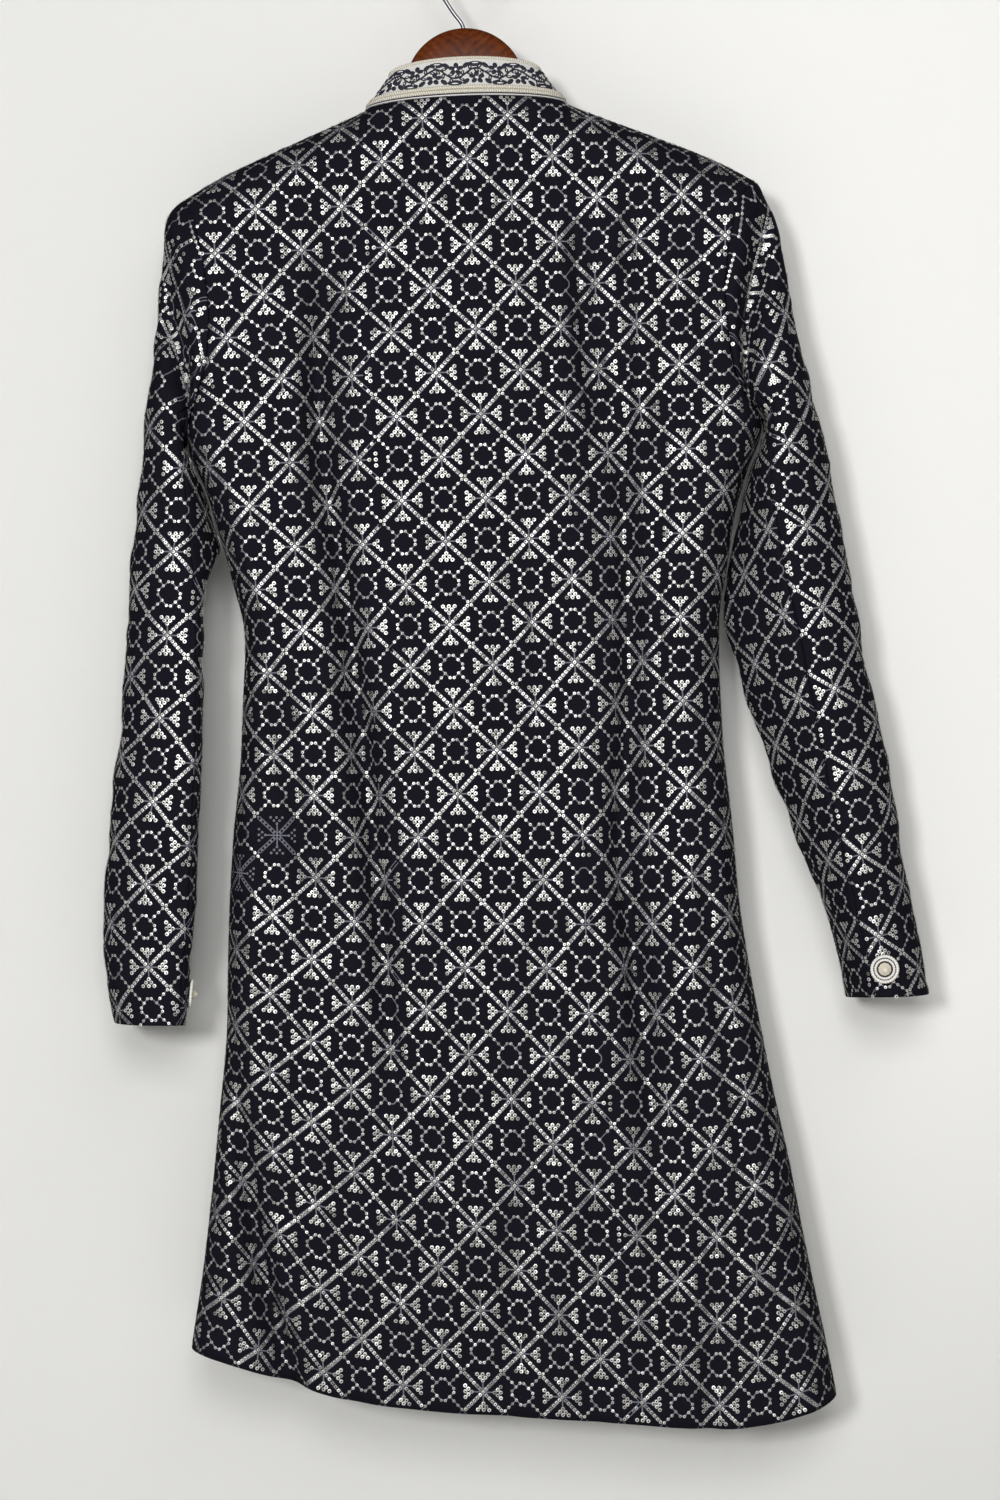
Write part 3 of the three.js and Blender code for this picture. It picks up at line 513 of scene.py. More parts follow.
# Painted light and shade: the share of lit-looking sequins is largest at the waist and least at the hem,
# standing in for light that falls off towards the hem; of the others most are silver and the rest are grey
# shaded-looking copies.
paintedLightShare = Table("z bright", (-250, 0.46), (-600, 0.68), (-850, 0.46), (-1100, 0.22))


def crossCell():
    places = [(0, 0, sequin["armRadius"])]
    for a in chart["arm"]:
        places += [(a * p, a * q, sequin["armRadius"]) for p in (-1, 1) for q in (-1, 1)]
    for out, aside in chart["heart"]:
        places += [(p * out, aside, sequin["heartRadius"]) for p in (-1, 1)]
        places += [(aside, p * out, sequin["heartRadius"]) for p in (-1, 1)]
    return np.array(places)


def ringCell():
    places, radius = [], sequin["ringRadius"]
    out, aside = chart["ringSide"]
    for p in (-1, 1):
        for q in (-1, 1):
            places += [(p * out, q * aside, radius), (q * aside, p * out, radius)]
            places += [(p * a, q * a, radius) for a in chart["ringChain"]]
    return np.array(places)


search = {
    "rounds": 14, "step": 25, "beyond": 3, "miss": 0.02,
    # least distances from the sheet's edges, in rows and columns
    "top": 0.2, "low": 1.17, "left": 0.5, "right": 1.5,
}


# Finds where wanted lattice places lie on a sheet, as fractional rows and columns.
def locate(uv, wanted):
    rows, columns = uv.shape[:2]
    i = np.interp(wanted[:, 1], uv[:, columns // 2, 1], np.arange(rows))
    j = np.full(len(wanted), (columns - 1) / 2)
    for _ in range(search["rounds"]):
        r = np.clip(i.astype(int), 0, rows - 2)
        c = np.clip(j.astype(int), 0, columns - 2)
        f, g = (i - r)[:, None], (j - c)[:, None]
        a, b, d, e = uv[r, c], uv[r, c + 1], uv[r + 1, c], uv[r + 1, c + 1]
        here = (a * (1 - g) + b * g) * (1 - f) + (d * (1 - g) + e * g) * f
        alongRow = (b - a) * (1 - f) + (e - d) * f
        alongColumn = (d - a) * (1 - g) + (e - b) * g
        miss = wanted - here
        det = alongRow[:, 0] * alongColumn[:, 1] - alongRow[:, 1] * alongColumn[:, 0]
        det = np.where(np.abs(det) < 1e-9, 1e-9, det)
        stepJ = (miss[:, 0] * alongColumn[:, 1] - miss[:, 1] * alongColumn[:, 0]) / det
        stepI = (miss[:, 1] * alongRow[:, 0] - miss[:, 0] * alongRow[:, 1]) / det
        most, beyond = search["step"], search["beyond"]
        i = np.clip(i + np.clip(stepI, -most, most), -beyond, rows - 1 + beyond)
        j = np.clip(j + np.clip(stepJ, -most, most), -beyond, columns - 1 + beyond)
    inRows = (i > search["top"]) & (i < rows - search["low"])
    inColumns = (j > search["left"]) & (j < columns - search["right"])
    return i, j, (np.abs(miss).max(1) < search["miss"]) & inRows & inColumns


def onSheet(grid, i, j):
    r, c = i.astype(int), j.astype(int)
    f, g = (i - r)[:, None], (j - c)[:, None]
    near, far = grid[r, c] * (1 - g) + grid[r, c + 1] * g, grid[r + 1, c] * (1 - g) + grid[r + 1, c + 1] * g
    return near * (1 - f) + far * f


def seatsOn(points, normals, i, j):
    return onSheet(points, i, j), unit(onSheet(normals, i, j))


def sequinForm():
    sides = sequin["sides"]
    angle = anglesRound(sides)
    rings = [(1.0, sequin["rim"]), (sequin["hole"], sequin["crown"])]
    form = [(r * math.cos(a), r * math.sin(a), h) for r, h in rings for a in angle]
    faces = [(k, (k + 1) % sides, sides + (k + 1) % sides, sides + k) for k in range(sides)]
    return np.array(form), faces


def sewSequins(name, points, normals, uv, parts=1, paintedLightRaise=0.0, bare=()):
    lows, highs = np.floor(uv.reshape(-1, 2).min(0)), np.ceil(uv.reshape(-1, 2).max(0))
    cells = {0: crossCell(), 1: ringCell()}
    wanted = []
    for column in range(int(lows[0]), int(highs[0]) + 1):
        for row in range(int(lows[1]), int(highs[1]) + 1):
            cell = cells[(column + row) % 2] + [column, row, 0]
            wanted.append(np.insert(cell, 3, (column, row) in bare, axis=1))
    wanted = np.concatenate(wanted)
    i, j, good = locate(uv, wanted[:, :2])
    i, j = i[good], j[good]
    radius, stitched = wanted[good, 2], wanted[good, 3] > 0
    places, facing = seatsOn(points, normals, i, j)
    facing = unit(facing + random.normal(0, sequin["tilt"], facing.shape))
    level = unit(np.cross(facing, sequin["level"]))
    form, faces = sequinForm()
    # Painted light and shade: lit-looking and shaded-looking sequin copies are picked by height and at
    # random.
    lot, bright = random.random(len(i)), paintedLightShare.read("bright", places[:, 2]) + paintedLightRaise
    choice = (lot > bright).astype(int) + (lot > mix(bright, 1, 0.7))
    choice = np.where(stitched, list(sequinLooks).index("stitch"), choice)
    radius = radius * np.where(stitched, sequin["stitch"], 1)
    made = []
    for part in range(parts):
        pick = (i * parts / len(points)).astype(int) == part
        made.append(scattered(
            f"{name}_{part + 1}" if parts > 1 else name, form, faces, places[pick], facing[pick],
            level[pick], random.uniform(0, math.pi, pick.sum()), np.repeat(radius[pick, None], 3, 1),
            sequinFinishes, choice[pick],
        ))
    print(f"stage: {name}, {len(i)} sequins")
    return made


swellDepth = 90


# A slow, uneven swell of the cloth, from noise that is stretched down the garment.
def swell(points, seed, across, along, height):
    flat = points.reshape(-1, 3)
    values = [noise.noise(Vector((x / across + seed, y / swellDepth + seed, z / along))) for x, y, z in flat]
    return np.array(values).reshape(points.shape[:2]) * height


def neckPoint(angle):
    c, s = np.cos(angle), np.sin(angle)
    z = np.where(s > 0, neckSideZ - frontNeckDrop * s * s, neckSideZ - backNeckRise * s)
    return np.stack([neckHalfWidth * c, neckHalfDepth * s, z], -1)


def topOfPanel(sign, across):
    x = np.abs(across) * shoulderHalf
    neck = neckPoint(sign * np.arccos(np.clip(x / neckHalfWidth, 0, 1)))
    inNeck = x < neckHalfWidth - 1e-6
    y = np.where(inNeck, neck[..., 1] + sign * seamGap, sign * seamGap / 2)
    return y, np.where(inNeck, neck[..., 2] - seamGap * 1.3, shoulderSeam.read("z", x))


def droop(across, level):
    return (hemLine.read("z", across) - hemLevel) * smooth((-560 - level) / 560)


def heightAt(sign, across, level):
    lift = topOfPanel(sign, across)[1] - shoulderZ
    return level + lift * (1 - smooth((shoulderZ - level) / 330)) + droop(across, level)


def foldPush(face, x, z):
    total = np.zeros(x.shape)
    for topZ, lowZ, topX, midX, lowX, width, push, fadeTop, fadeLow in folds[face]:
        t = np.clip((z - topZ) / (lowZ - topZ), 0, 1)
        length = topZ - lowZ
        centre = mix(mix(topX, midX, t), mix(midX, lowX, t), t)
        start = smooth(t * length / fadeTop) if fadeTop else 1
        end = smooth((1 - t) * length / fadeLow) if fadeLow else 1
        inside = (z < topZ) & (z > lowZ)
        total += np.where(inside, push * start * end * np.exp(-(((x - centre) / width) ** 2)), 0)
    return total


def creasePush(face, x, z):
    total = 0.55 * foldPush(face, x, z)
    for left, right, push, fadeTop, fadeLow, *places in creases[face]:
        line = Table("z x", *places)
        low, top = line.columns["z"][0], line.columns["z"][-1]
        away = x - line.read("x", z)
        shape = np.exp(-np.abs(away / np.where(away < 0, left, right)) ** 1.8)
        start = smooth((top - z) / fadeTop)
        end = smooth((z - low) / fadeLow) if fadeLow else 1
        total += push * shape * start * end
    return total


def panelPoints(face, across, level, foldShape=foldPush):
    sign = signs[face]
    topY, topZ = topOfPanel(sign, across)
    z = heightAt(sign, across, level)
    edgeZ = heightAt(sign, np.where(across < 0, -1.0, 1.0), level)
    left = across < 0
    halfWidth = np.where(left, bodyEdge.read("left", edgeZ), bodyEdge.read("right", edgeZ))
    x = across * halfWidth
    edgeLeft, edgeRight = edgeDepth.read(face + "left", edgeZ), edgeDepth.read(face + "right", edgeZ)
    edgeY = np.where(left, edgeLeft, edgeRight) + sign * seamGap / 2
    turned = quarter((halfWidth - np.abs(x)) / np.where(left, sideTurn["left"], sideTurn["right"]))
    middleY = bodyDepth.read(face, z) - sign * foldShape(face, x, z)
    fallen = quarter((topZ - z) / shoulderRound)
    return np.stack([x, mix(topY, mix(edgeY, middleY, turned), fallen), z], -1)


def columnsAcross(neckSteps, shoulderSteps):
    share = neckHalfWidth / shoulderHalf
    inNeck = -share * np.cos(np.pi * np.arange(neckSteps + 1) / neckSteps)
    beyond = mix(share, 1, 1 - (1 - np.arange(1, shoulderSteps + 1) / shoulderSteps) ** 1.25)
    return np.concatenate([-beyond[::-1], inNeck, beyond])


panelLooks = {
    "perRow": 5, "neckSteps": 60, "shoulderSteps": 46,
    # seed, across, along, height
    "swells": ((3.0, 26, 95, 2.4), (9.0, 11, 32, 0.8)),
}


def panelGrid(face):
    looks, perRow, sign = panelLooks, panelLooks["perRow"], signs[face]
    steps = np.arange((len(panelLevels) - 1) * perRow + 1) / perRow
    levels = np.interp(steps, np.arange(len(panelLevels)), panelLevels)
    across, level = np.meshgrid(columnsAcross(looks["neckSteps"], looks["shoulderSteps"]), levels)
    points = panelPoints(face, across, level, creasePush)
    inward = smooth((1 - np.abs(across)) * 9) * smooth((shoulderZ + 20 - level) / 60)
    for seed, *size in looks["swells"]:
        points[..., 1] += swell(points, seed * sign, *size) * inward
    normals = facingNormals(points, len(levels) // 2, 50, sign)
    straightZ = points[..., 2] - droop(across, level)
    pitch = latticePitch.read("pitch", straightZ)
    step = np.diff(points, axis=1)
    across1 = np.hypot(step[..., 0], step[..., 1]) / ((pitch[:, 1:] + pitch[:, :-1]) / 2)
    u = running(across1, 1)
    middle = points.shape[1] // 2
    centre = latticeCentre.read("x", straightZ[:, middle]) / pitch[:, middle]
    u += -u[:, middle:middle + 1] - centre[:, None]
    down = -np.diff(straightZ, axis=0)
    overShoulder = topOfPanel(sign, across)[1] - points[..., 2] < shoulderRound
    depthStep = np.where(overShoulder[:-1], np.diff(points[..., 1], axis=0), 0)
    stepV = np.hypot(down, depthStep) / ((pitch[1:] + pitch[:-1]) / 2)
    v = running(stepV)
    for c in range(v.shape[1]):
        v[:, c] -= np.interp(-latticeTopZ, -straightZ[:, c], v[:, c])
    return points, normals, np.stack([u, v], -1)


panelCuts = {
    "back": {"flat": (0.52, 1.06), "area": 0.47, "bare": [(-6, 12), (-7, 13)]},
    "front": {"flat": (0.52, 1.04), "area": 0.46, "bare": []},
}


def makePanel(face):
    points, normals, uv = panelGrid(face)
    piece = clothShell(face + "_cloth", points, normals, uv, navyCloth)
    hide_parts(face + "_panel")
    cut = panelCuts[face]
    sewn = sewSequins(face + "_sequins", points, normals, uv, parts=2, bare=cut["bare"])
    return points, normals


makePanel("back")
frontGrid = makePanel("front")
print("stage: panels")


# A closed centripetal curve through eight places, sampled evenly in its own parameter.
def closedCurve(places, count):
    size = len(places)
    t = np.arange(count) * size / count
    k = t.astype(int)
    w = (t - k)[:, None]
    p0, p1, p2, p3 = (places[(k + d) % size] for d in (-1, 0, 1, 2))
    pairs = ((p0, p1), (p1, p2), (p2, p3))
    gap = [np.maximum(np.linalg.norm(b - a, axis=1) ** 0.5, 1e-4)[:, None] for a, b in pairs]
    m1 = ((p1 - p0) / gap[0] - (p2 - p0) / (gap[0] + gap[1]) + (p2 - p1) / gap[1]) * gap[1]
    m2 = ((p2 - p1) / gap[1] - (p3 - p1) / (gap[1] + gap[2]) + (p3 - p2) / gap[2]) * gap[1]
    c2 = -3 * p1 + 3 * p2 - 2 * m1 - m2
    c3 = 2 * p1 - 2 * p2 + m1 + m2
    return p1 + m1 * w + c2 * w**2 + c3 * w**3


ringSize = 96
elbowSeam = ringSize * 3 // 8
frontSeam = ringSize * 5 // 8


def sleeveSection(row):
    outX, outZ, creaseX, creaseZ, inX, inZ, near, far = row
    outer, crease, inside = (np.array([x, 0, z]) for x, z in ((outX, outZ), (creaseX, creaseZ), (inX, inZ)))

    def between(a, b, t, y):
        return mix(a, b, t) * [1, 0, 1] + [0, y, 0]

    return closedCurve(np.array([
        outer + [0, 2, 0],
        between(outer, crease, 0.13, near * 0.68),
        between(outer, crease, 0.5, near * 1.02),
        crease + [0, near, 0],
        inside + [0, innerEdgeY, 0],
        between(inside, outer, 0.16, far * 0.84),
        between(inside, outer, 0.55, far),
        between(inside, outer, 0.86, far * 0.66),
    ]), ringSize)


def sleeveRings(side):
    way = signs[side]
    half = ringSize // 2
    j = np.arange(ringSize)
    place = np.where(j <= half, j, ringSize - j) * (len(armholeLevels) - 1) / half
    level = np.interp(place, np.arange(len(armholeLevels)), armholeLevels)
    one = np.full(ringSize, float(way))
    near, far = panelPoints("back", one, level), panelPoints("front", one, level)
    seam = np.where((j <= half)[:, None], near, far)
    seam[:, 0] = np.abs(seam[:, 0]) + seamGap
    sections = [sleeveSection(row) for row in sleeveSections[side]]
    fromOuter = np.minimum(j, ringSize - j) / half
    rings = [seam]
    for blend, outX, outZ, valley in sleeveHead[side]:
        ring = mix(seam, sections[0], blend)
        outShare = smooth(1 - fromOuter * 4)
        ring[:, 0] = mix(ring[:, 0], outX, outShare)
        ring[:, 2] = mix(ring[:, 2], outZ, outShare)
        sunk = valley * smooth(fromOuter * 5 - 0.4) * smooth((1 - fromOuter) * 2.4)
        ring[:, 1] += np.where(j < half, sunk, 0)
        limit = bodyEdge.read(side, ring[:, 2]) + seamGap + sleeveClearance * smooth(blend * 5)
        ring[:, 0] = np.maximum(ring[:, 0], limit)
        rings.append(ring)
    for ring in sections:
        limit = bodyEdge.read(side, ring[:, 2]) + seamGap + sleeveClearance
        ring[:, 0] = np.where(ring[:, 2] > -560, np.maximum(ring[:, 0], limit), ring[:, 0])
        rings.append(ring)
    rings = np.array(rings)
    rings[..., 0] *= way
    return rings


sleeveLooks = {
    "perRing": 8, "gather": 12, "cuffRows": 6,
    # seed, across, along, height
    "swells": ((5.0, 24, 30, 2.6), (8.0, 11, 13, 1.0)), "deepest": -2.0,
    "hugReach": 14, "hugLowZ": -600, "hugMost": 0.3,
}


def sleeveGrid(side):
    way = signs[side]
    looks, times, rings = sleeveLooks, sleeveLooks["perRing"], sleeveRings(side)
    rings = curveThrough(rings, np.arange((len(rings) - 1) * times + 1) / times)
    normals = facingNormals(rings, 60, ringSize // 5, -1, closed=True)
    count, x, z = len(rings), np.abs(rings[..., 0]), rings[..., 2]
    ease = smooth(np.linspace(0, looks["gather"], count))
    ease = ease * smooth((count - np.arange(count)) / looks["cuffRows"])
    bulge = sum(swell(rings, seed + way, *size) for seed, *size in looks["swells"])
    outward = np.maximum(bulge, looks["deepest"]) * ease[:, None]
    hugging = (x < bodyEdge.read(side, z) + looks["hugReach"]) & (z > looks["hugLowZ"])
    rings = rings + normals * np.where(hugging, np.minimum(outward, looks["hugMost"]), outward)[..., None]
    middle = rings.mean(1)
    along = unit(np.gradient(middle, axis=0))
    for _ in range(12):
        along[1:-1] = unit((along[:-2] + along[1:-1] * 2 + along[2:]) / 4)
    length = running(np.linalg.norm(np.diff(middle, axis=0), axis=1))
    pitch = latticePitch.read("pitch", middle[:, 2])
    step = np.roll(rings, -1, 1) - rings
    step = step - (step * along[:, None]).sum(-1, keepdims=True) * along[:, None]
    around = np.linalg.norm(step, axis=-1) / pitch[:, None]
    u = running(around, 1)
    wrapped = np.concatenate([rings, rings[:, :1]], 1)
    v = (length[:, None] + ((wrapped - middle[:, None]) * along[:, None]).sum(-1)) / pitch.mean()
    return wrapped, np.concatenate([normals, normals[:, :1]], 1), np.stack([u * way, v], -1)


def columnsBetween(grid, at):
    k = np.floor(at).astype(int)
    w = (at - k)[None, :, None]
    return grid[:, k % ringSize] * (1 - w) + grid[:, k % ringSize + 1] * w


seamTrim = 0.09
# Painted light: the sleeves get a larger share of lit-looking sequins, which lightens them.
sleevePaintedLightRaise = 0.36
# The columns from start to end run from seam to seam.
sleeveCuts = {
    "top": {
        "flat": (0.27, 0.66), "area": 0.115, "start": frontSeam - ringSize, "end": elbowSeam, "count": 73,
    },
    "under": {"flat": (0.11, 0.50), "area": 0.036, "start": elbowSeam, "end": frontSeam, "count": 27},
}


def makeSleeve(side):
    points, normals, uv = sleeveGrid(side)
    whole = uv[:, -1:, 0] - uv[:, :1, 0]
    for part, cut in sleeveCuts.items():
        at = np.linspace(cut["start"] + seamTrim, cut["end"] - seamTrim, cut["count"])
        p, n, lifted = (columnsBetween(grid, at) for grid in (points, normals, uv))
        lifted[..., 0] += whole * np.floor(at / ringSize)[None]
        lifted = lifted - [lifted[0, cut["count"] // 2, 0].round(), 0]
        if side == "left":
            p, n, lifted = p[:, ::-1], n[:, ::-1], lifted[:, ::-1]
        name = f"{side}_{part}_sleeve"
        piece = clothShell(name + "_cloth", p, unit(n), lifted, navyCloth)
        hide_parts(name)
        sewn = sewSequins(name + "_sequins", p, unit(n), lifted, paintedLightRaise=sleevePaintedLightRaise)


makeSleeve("left")
makeSleeve("right")
print("stage: sleeves")


creamLooks = {
    "cream": colour(0.84, 0.80, 0.70), "ropeShade": colour(0.60, 0.55, 0.44),
    "ground": colour(0.73, 0.72, 0.69), "groundShade": colour(0.56, 0.55, 0.52),
    "ink": colour(0.012, 0.012, 0.026),
}


def creamFinish():
    cream = Finish("cream_band", Roughness=0.8, Specular_IOR_Level=0.3)
    uv = cream.place()
    speck = cream.node("ShaderNodeTexNoise", Vector=uv, Scale=1.4, Detail=3.0)
    cream.feed(Base_Color=cream.blend(speck, creamLooks["groundShade"], creamLooks["ground"]))
    cream.feed(Normal=cream.bump(speck, 0.5, 0.0005))
    return cream.material


def ropeFinish():
    rope = Finish("cream_rope", Roughness=0.72, Specular_IOR_Level=0.35)
    x, y, _ = rope.split(rope.place())
    twist = ((x * 2.2 + y) * (2 * math.pi)).sum("SINE")
    # Painted shade: the rope's colour darkens in the grooves of its twist, where the bump dips.
    rope.feed(Base_Color=rope.blend(twist * 0.5 + 0.5, creamLooks["ropeShade"], creamLooks["cream"]))
    rope.feed(Normal=rope.bump(twist, 0.8, 0.0004))
    return rope.material


creamCloth, creamRope = creamFinish(), ropeFinish()
inkThread = Finish("ink_thread", Base_Color=creamLooks["ink"], Roughness=0.7).material
paleThread = Finish("pale_thread", Base_Color=colour(0.74, 0.73, 0.72), Roughness=0.5).material
crystal = Finish("crystal", Base_Color=colour(0.9, 0.88, 0.84), Roughness=0.08, Metallic=0.3).material


def collarPoint(angle, up):
    base = neckPoint(angle)
    s = np.sin(angle)
    drop = np.where(s > 0, collarTop["frontDrop"] * s * s, collarTop["backRise"] * s)
    x, y = collarTop["halfWidth"] * np.cos(angle), collarTop["halfDepth"] * s
    top = np.stack([x, y, collarTop["sideZ"] - drop], -1)
    up = np.asarray(up)[..., None]
    return mix(base, top, up)


collarOpening = 2.4


def collarGrid(steps=260, rows=14):
    gap = math.asin(collarOpening / 2 / neckHalfWidth)
    angle = np.linspace(math.pi / 2 + gap, math.pi * 2.5 - gap, steps)
    angles, up = np.meshgrid(angle, np.linspace(0.0, 1.0, rows))
    points = collarPoint(angles, up)
    normals = facingNormals(points, rows // 2, steps // 2, -1)
    reach = np.linalg.norm(np.diff(points, axis=1), axis=2).mean(0)
    u = running(reach)
    u = u - u[steps // 2]
    height = np.linalg.norm(points[-1] - points[0], axis=1)
    uv = np.stack(np.broadcast_arrays(u[None], up * height[None]), -1)
    return points, normals, uv


def linked(name, bm, material):
    mesh = bpy.data.meshes.new(name)
    bmesh.ops.recalc_face_normals(bm, faces=bm.faces[:])
    bm.to_mesh(mesh)
    bm.free()
    return riding(name, mesh, material)


def loft(rings):
    bm = bmesh.new()
    loops = [[bm.verts.new(p) for p in ring] for ring in rings * mm]
    sides = rings.shape[1]
    for a, b in zip(loops, loops[1:]):
        for k in range(sides):
            bm.faces.new((a[k], a[(k + 1) % sides], b[(k + 1) % sides], b[k]))
    bm.faces.new(loops[0])
    bm.faces.new(loops[-1])
    return bm


def makeCord(name, path, normals, radius, material):
    sides = 8
    along = unit(np.gradient(path, axis=0))
    side = unit(np.cross(along, normals))
    up = np.cross(side, along)
    c, s = (f(anglesRound(sides))[None, :, None] for f in (np.cos, np.sin))
    rings = path[:, None] + radius * (c * side[:, None] + s * up[:, None])
    piece = linked(name, loft(rings), material)
    mesh = piece.data
    length = running(np.linalg.norm(np.diff(path, axis=0), axis=1))
    layer = mesh.uv_layers.new(name="lattice")
    for loop in mesh.loops:
        i, k = divmod(loop.vertex_index, sides)
        layer.data[loop.index].uv = (length[i] * 0.25, k / sides)
    shadeSmooth(mesh)
    return piece


def ellipseForm(sides=10):
    angle = anglesRound(sides)
    form = [(0, 0, 1.0)] + [(0.62 * math.cos(a), 0.62 * math.sin(a), 0.8) for a in angle]
    form += [(math.cos(a), math.sin(a), -0.2) for a in angle]
    faces = [(0, 1 + k, 1 + (k + 1) % sides) for k in range(sides)]
    faces += [(1 + k, 1 + sides + k, 1 + sides + (k + 1) % sides, 1 + (k + 1) % sides) for k in range(sides)]
    return np.array(form), faces


# Embroidery on the band: a waving vine with leaves, a rosette in each of its bends and a crest outside.
bandLooks = {
    "wave": 33.0, "swing": 4.6, "middle": 20.0, "leafStep": 3.0, "leafTurn": 0.95, "leafReach": 2.8,
    "petals": 5, "petalTurn": 0.3, "rosetteDrop": 3.9, "petalOut": (3.7, 3.5), "gemOut": (5.2, 4.8),
    "crestUp": 8.6, "paleUp": 9.3, "sideUp": 7.4, "sideOut": 8.2, "sideTurn": 0.8,
    # half length, half width
    "petal": (2.8, 2.1), "gem": (0.6, 0.6), "heart": (1.1, 1.1), "crest": (6.2, 2.8),
    "crestPale": (3.6, 0.8), "side": (3.6, 2.1), "leaf": (2.8, 1.6), "leafPale": (1.4, 0.5),
    "lift": {"ink": 0.45, "pale": 0.75, "crystal": 0.6}, "gemTurn": 0.6,
    "endGap": 3, "vineGap": 4, "vineSteps": 420, "vineOut": 0.2, "vineRadius": 0.7,
}
# share of the band's height, distance out, radius, material
collarCords = {
    "collar_top_rope": (0.975, 0.2, 1.25, creamRope),
    "collar_low_rope_1": (0.095, 0.6, 1.7, creamRope),
    "collar_low_rope_2": (0.2, 0.4, 1.6, creamRope),
    "collar_ink_line": (0.03, 0.35, 0.75, inkThread),
    "collar_silver_line": (0.0, 0.55, 0.55, paleThread),
}


def makeCollar():
    points, normals, uv = collarGrid()
    rows, steps = uv.shape[:2]
    piece = clothShell("collar_cloth", points, normals, uv, creamCloth, wall=collarWall)
    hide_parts("collar")

    for name, (up, out, radius, material) in collarCords.items():
        i = np.full(steps, up * (rows - 1)).clip(0, rows - 1.001)
        j = np.clip(np.arange(steps, dtype=float), 0, steps - 1.001)
        path, facing = seatsOn(points, normals, i, j)
        makeCord(name, path + facing * out, facing, radius, material)
    # x, y in the band, half length, half width, turn
    marks = {"ink": [], "pale": [], "crystal": []}
    half = uv[0, -1, 0]
    looks = bandLooks
    middle, wave = looks["middle"], looks["wave"]

    def vine(x):
        return middle + looks["swing"] * np.sin(2 * math.pi * x / wave)

    def mark(kind, x, y, shape, turn=0.0):
        marks[kind].append((x, y, *looks[shape], turn))

    for k in range(-16, 17):
        crest = -1 if k % 2 else 1
        x = wave * (0.25 + k / 2)
        y = middle - crest * looks["rosetteDrop"]
        (outX, outY), (gemX, gemY) = looks["petalOut"], looks["gemOut"]
        for turn in anglesRound(looks["petals"]) + looks["petalTurn"]:
            mark("ink", x + outX * math.cos(turn), y + outY * math.sin(turn), "petal", turn)
            at = turn + looks["gemTurn"]
            mark("crystal", x + gemX * math.cos(at), y + gemY * math.sin(at), "gem")
        mark("crystal", x, y, "heart")
        mark("ink", x, middle + crest * looks["crestUp"], "crest")
        mark("pale", x, middle + crest * looks["paleUp"], "crestPale")
        for way in (-1, 1):
            aside = x + way * looks["sideOut"]
            mark("ink", aside, middle + crest * looks["sideUp"], "side", -way * crest * looks["sideTurn"])
    for n, x in enumerate(np.arange(-half, half, looks["leafStep"])):
        slope = math.atan2(vine(x + 0.1) - vine(x - 0.1), 0.2)
        turn = slope + (-looks["leafTurn"] if n % 2 else looks["leafTurn"])
        at = x + looks["leafReach"] * math.cos(turn), vine(x) + looks["leafReach"] * math.sin(turn)
        mark("ink", *at, "leaf", turn)
        mark("pale", *at, "leafPale", turn)
    form, faces = ellipseForm()
    for kind, material in (("ink", inkThread), ("pale", paleThread), ("crystal", crystal)):
        shapes = np.array(marks[kind])
        shapes = shapes[np.abs(shapes[:, 0]) < half - looks["endGap"]]
        i, j, good = locateBand(uv, shapes[:, :2])
        shapes, i, j = shapes[good], i[good], j[good]
        place, facing = seatsOn(points, normals, i, j)
        level = unit(np.cross([0.0, 0.0, 1.0], facing))
        sizes = np.insert(shapes[:, 2:4], 2, looks["lift"][kind], axis=1)
        piled = scattered(
            "collar_" + kind, form, faces, place, facing, level, shapes[:, 4], sizes, [material],
            np.zeros(len(place), int),
        )
        shadeSmooth(piled.data)
    x = np.linspace(-half + looks["vineGap"], half - looks["vineGap"], looks["vineSteps"])
    i, j, good = locateBand(uv, np.stack([x, vine(x)], 1))
    place, facing = seatsOn(points, normals, i, j)
    path = place + facing * looks["vineOut"]
    makeCord("collar_vine", path, facing, looks["vineRadius"], inkThread)


def locateBand(uv, wanted):
    rows, steps = uv.shape[:2]
    j = np.interp(wanted[:, 0], uv[0, :, 0], np.arange(steps))
    height = np.interp(j, np.arange(steps), uv[-1, :, 1])
    i = wanted[:, 1] / height * (rows - 1)
    good = (i > 0.2) & (i < rows - 1.2) & (j > 0.2) & (j < steps - 1.2)
    return i, j, good


makeCollar()
print("stage: collar")


def aimed(point, normal):
    turn = Vector((0, 0, 1)).rotation_difference(Vector(normal)).to_matrix().to_4x4()
    return Matrix.Translation(Vector(point)) @ turn


# A cuff button: a dark cup, two rings of white beads and a faceted pearl dome.
buttonLooks = {
    "sunk": 4.1,
    # radius, count, size, height
    "beadRings": ((9.85, 32, 1.35, 2.7), (7.15, 26, 1.12, 3.2)),
    # sides, low radius, high radius, depth, height
    "cup": ((40, 9.0, 11.2, 1.6, 0.8),),
    "dome": ((10, 5.1, 3.0, 2.6, 4.6), (10, 3.0, 1.5, 1.5, 6.65)),
}
pearl = Finish("pearl", Base_Color=colour(0.83, 0.81, 0.76), Roughness=0.22, Coat_Weight=0.5).material
honey = Finish("honey_pearl", Base_Color=colour(0.78, 0.72, 0.58), Roughness=0.1, Coat_Weight=0.6).material


def makeCones(name, cones, seat, material):
    bm = bmesh.new()
    for sides, low, high, depth, height in cones:
        bmesh.ops.create_cone(
            bm, cap_ends=True, segments=sides, radius1=low * mm, radius2=high * mm, depth=depth * mm,
            matrix=Matrix.Translation((0, 0, height * mm)),
        )
    bmesh.ops.transform(bm, matrix=seat, verts=bm.verts[:])
    return linked(name, bm, material)


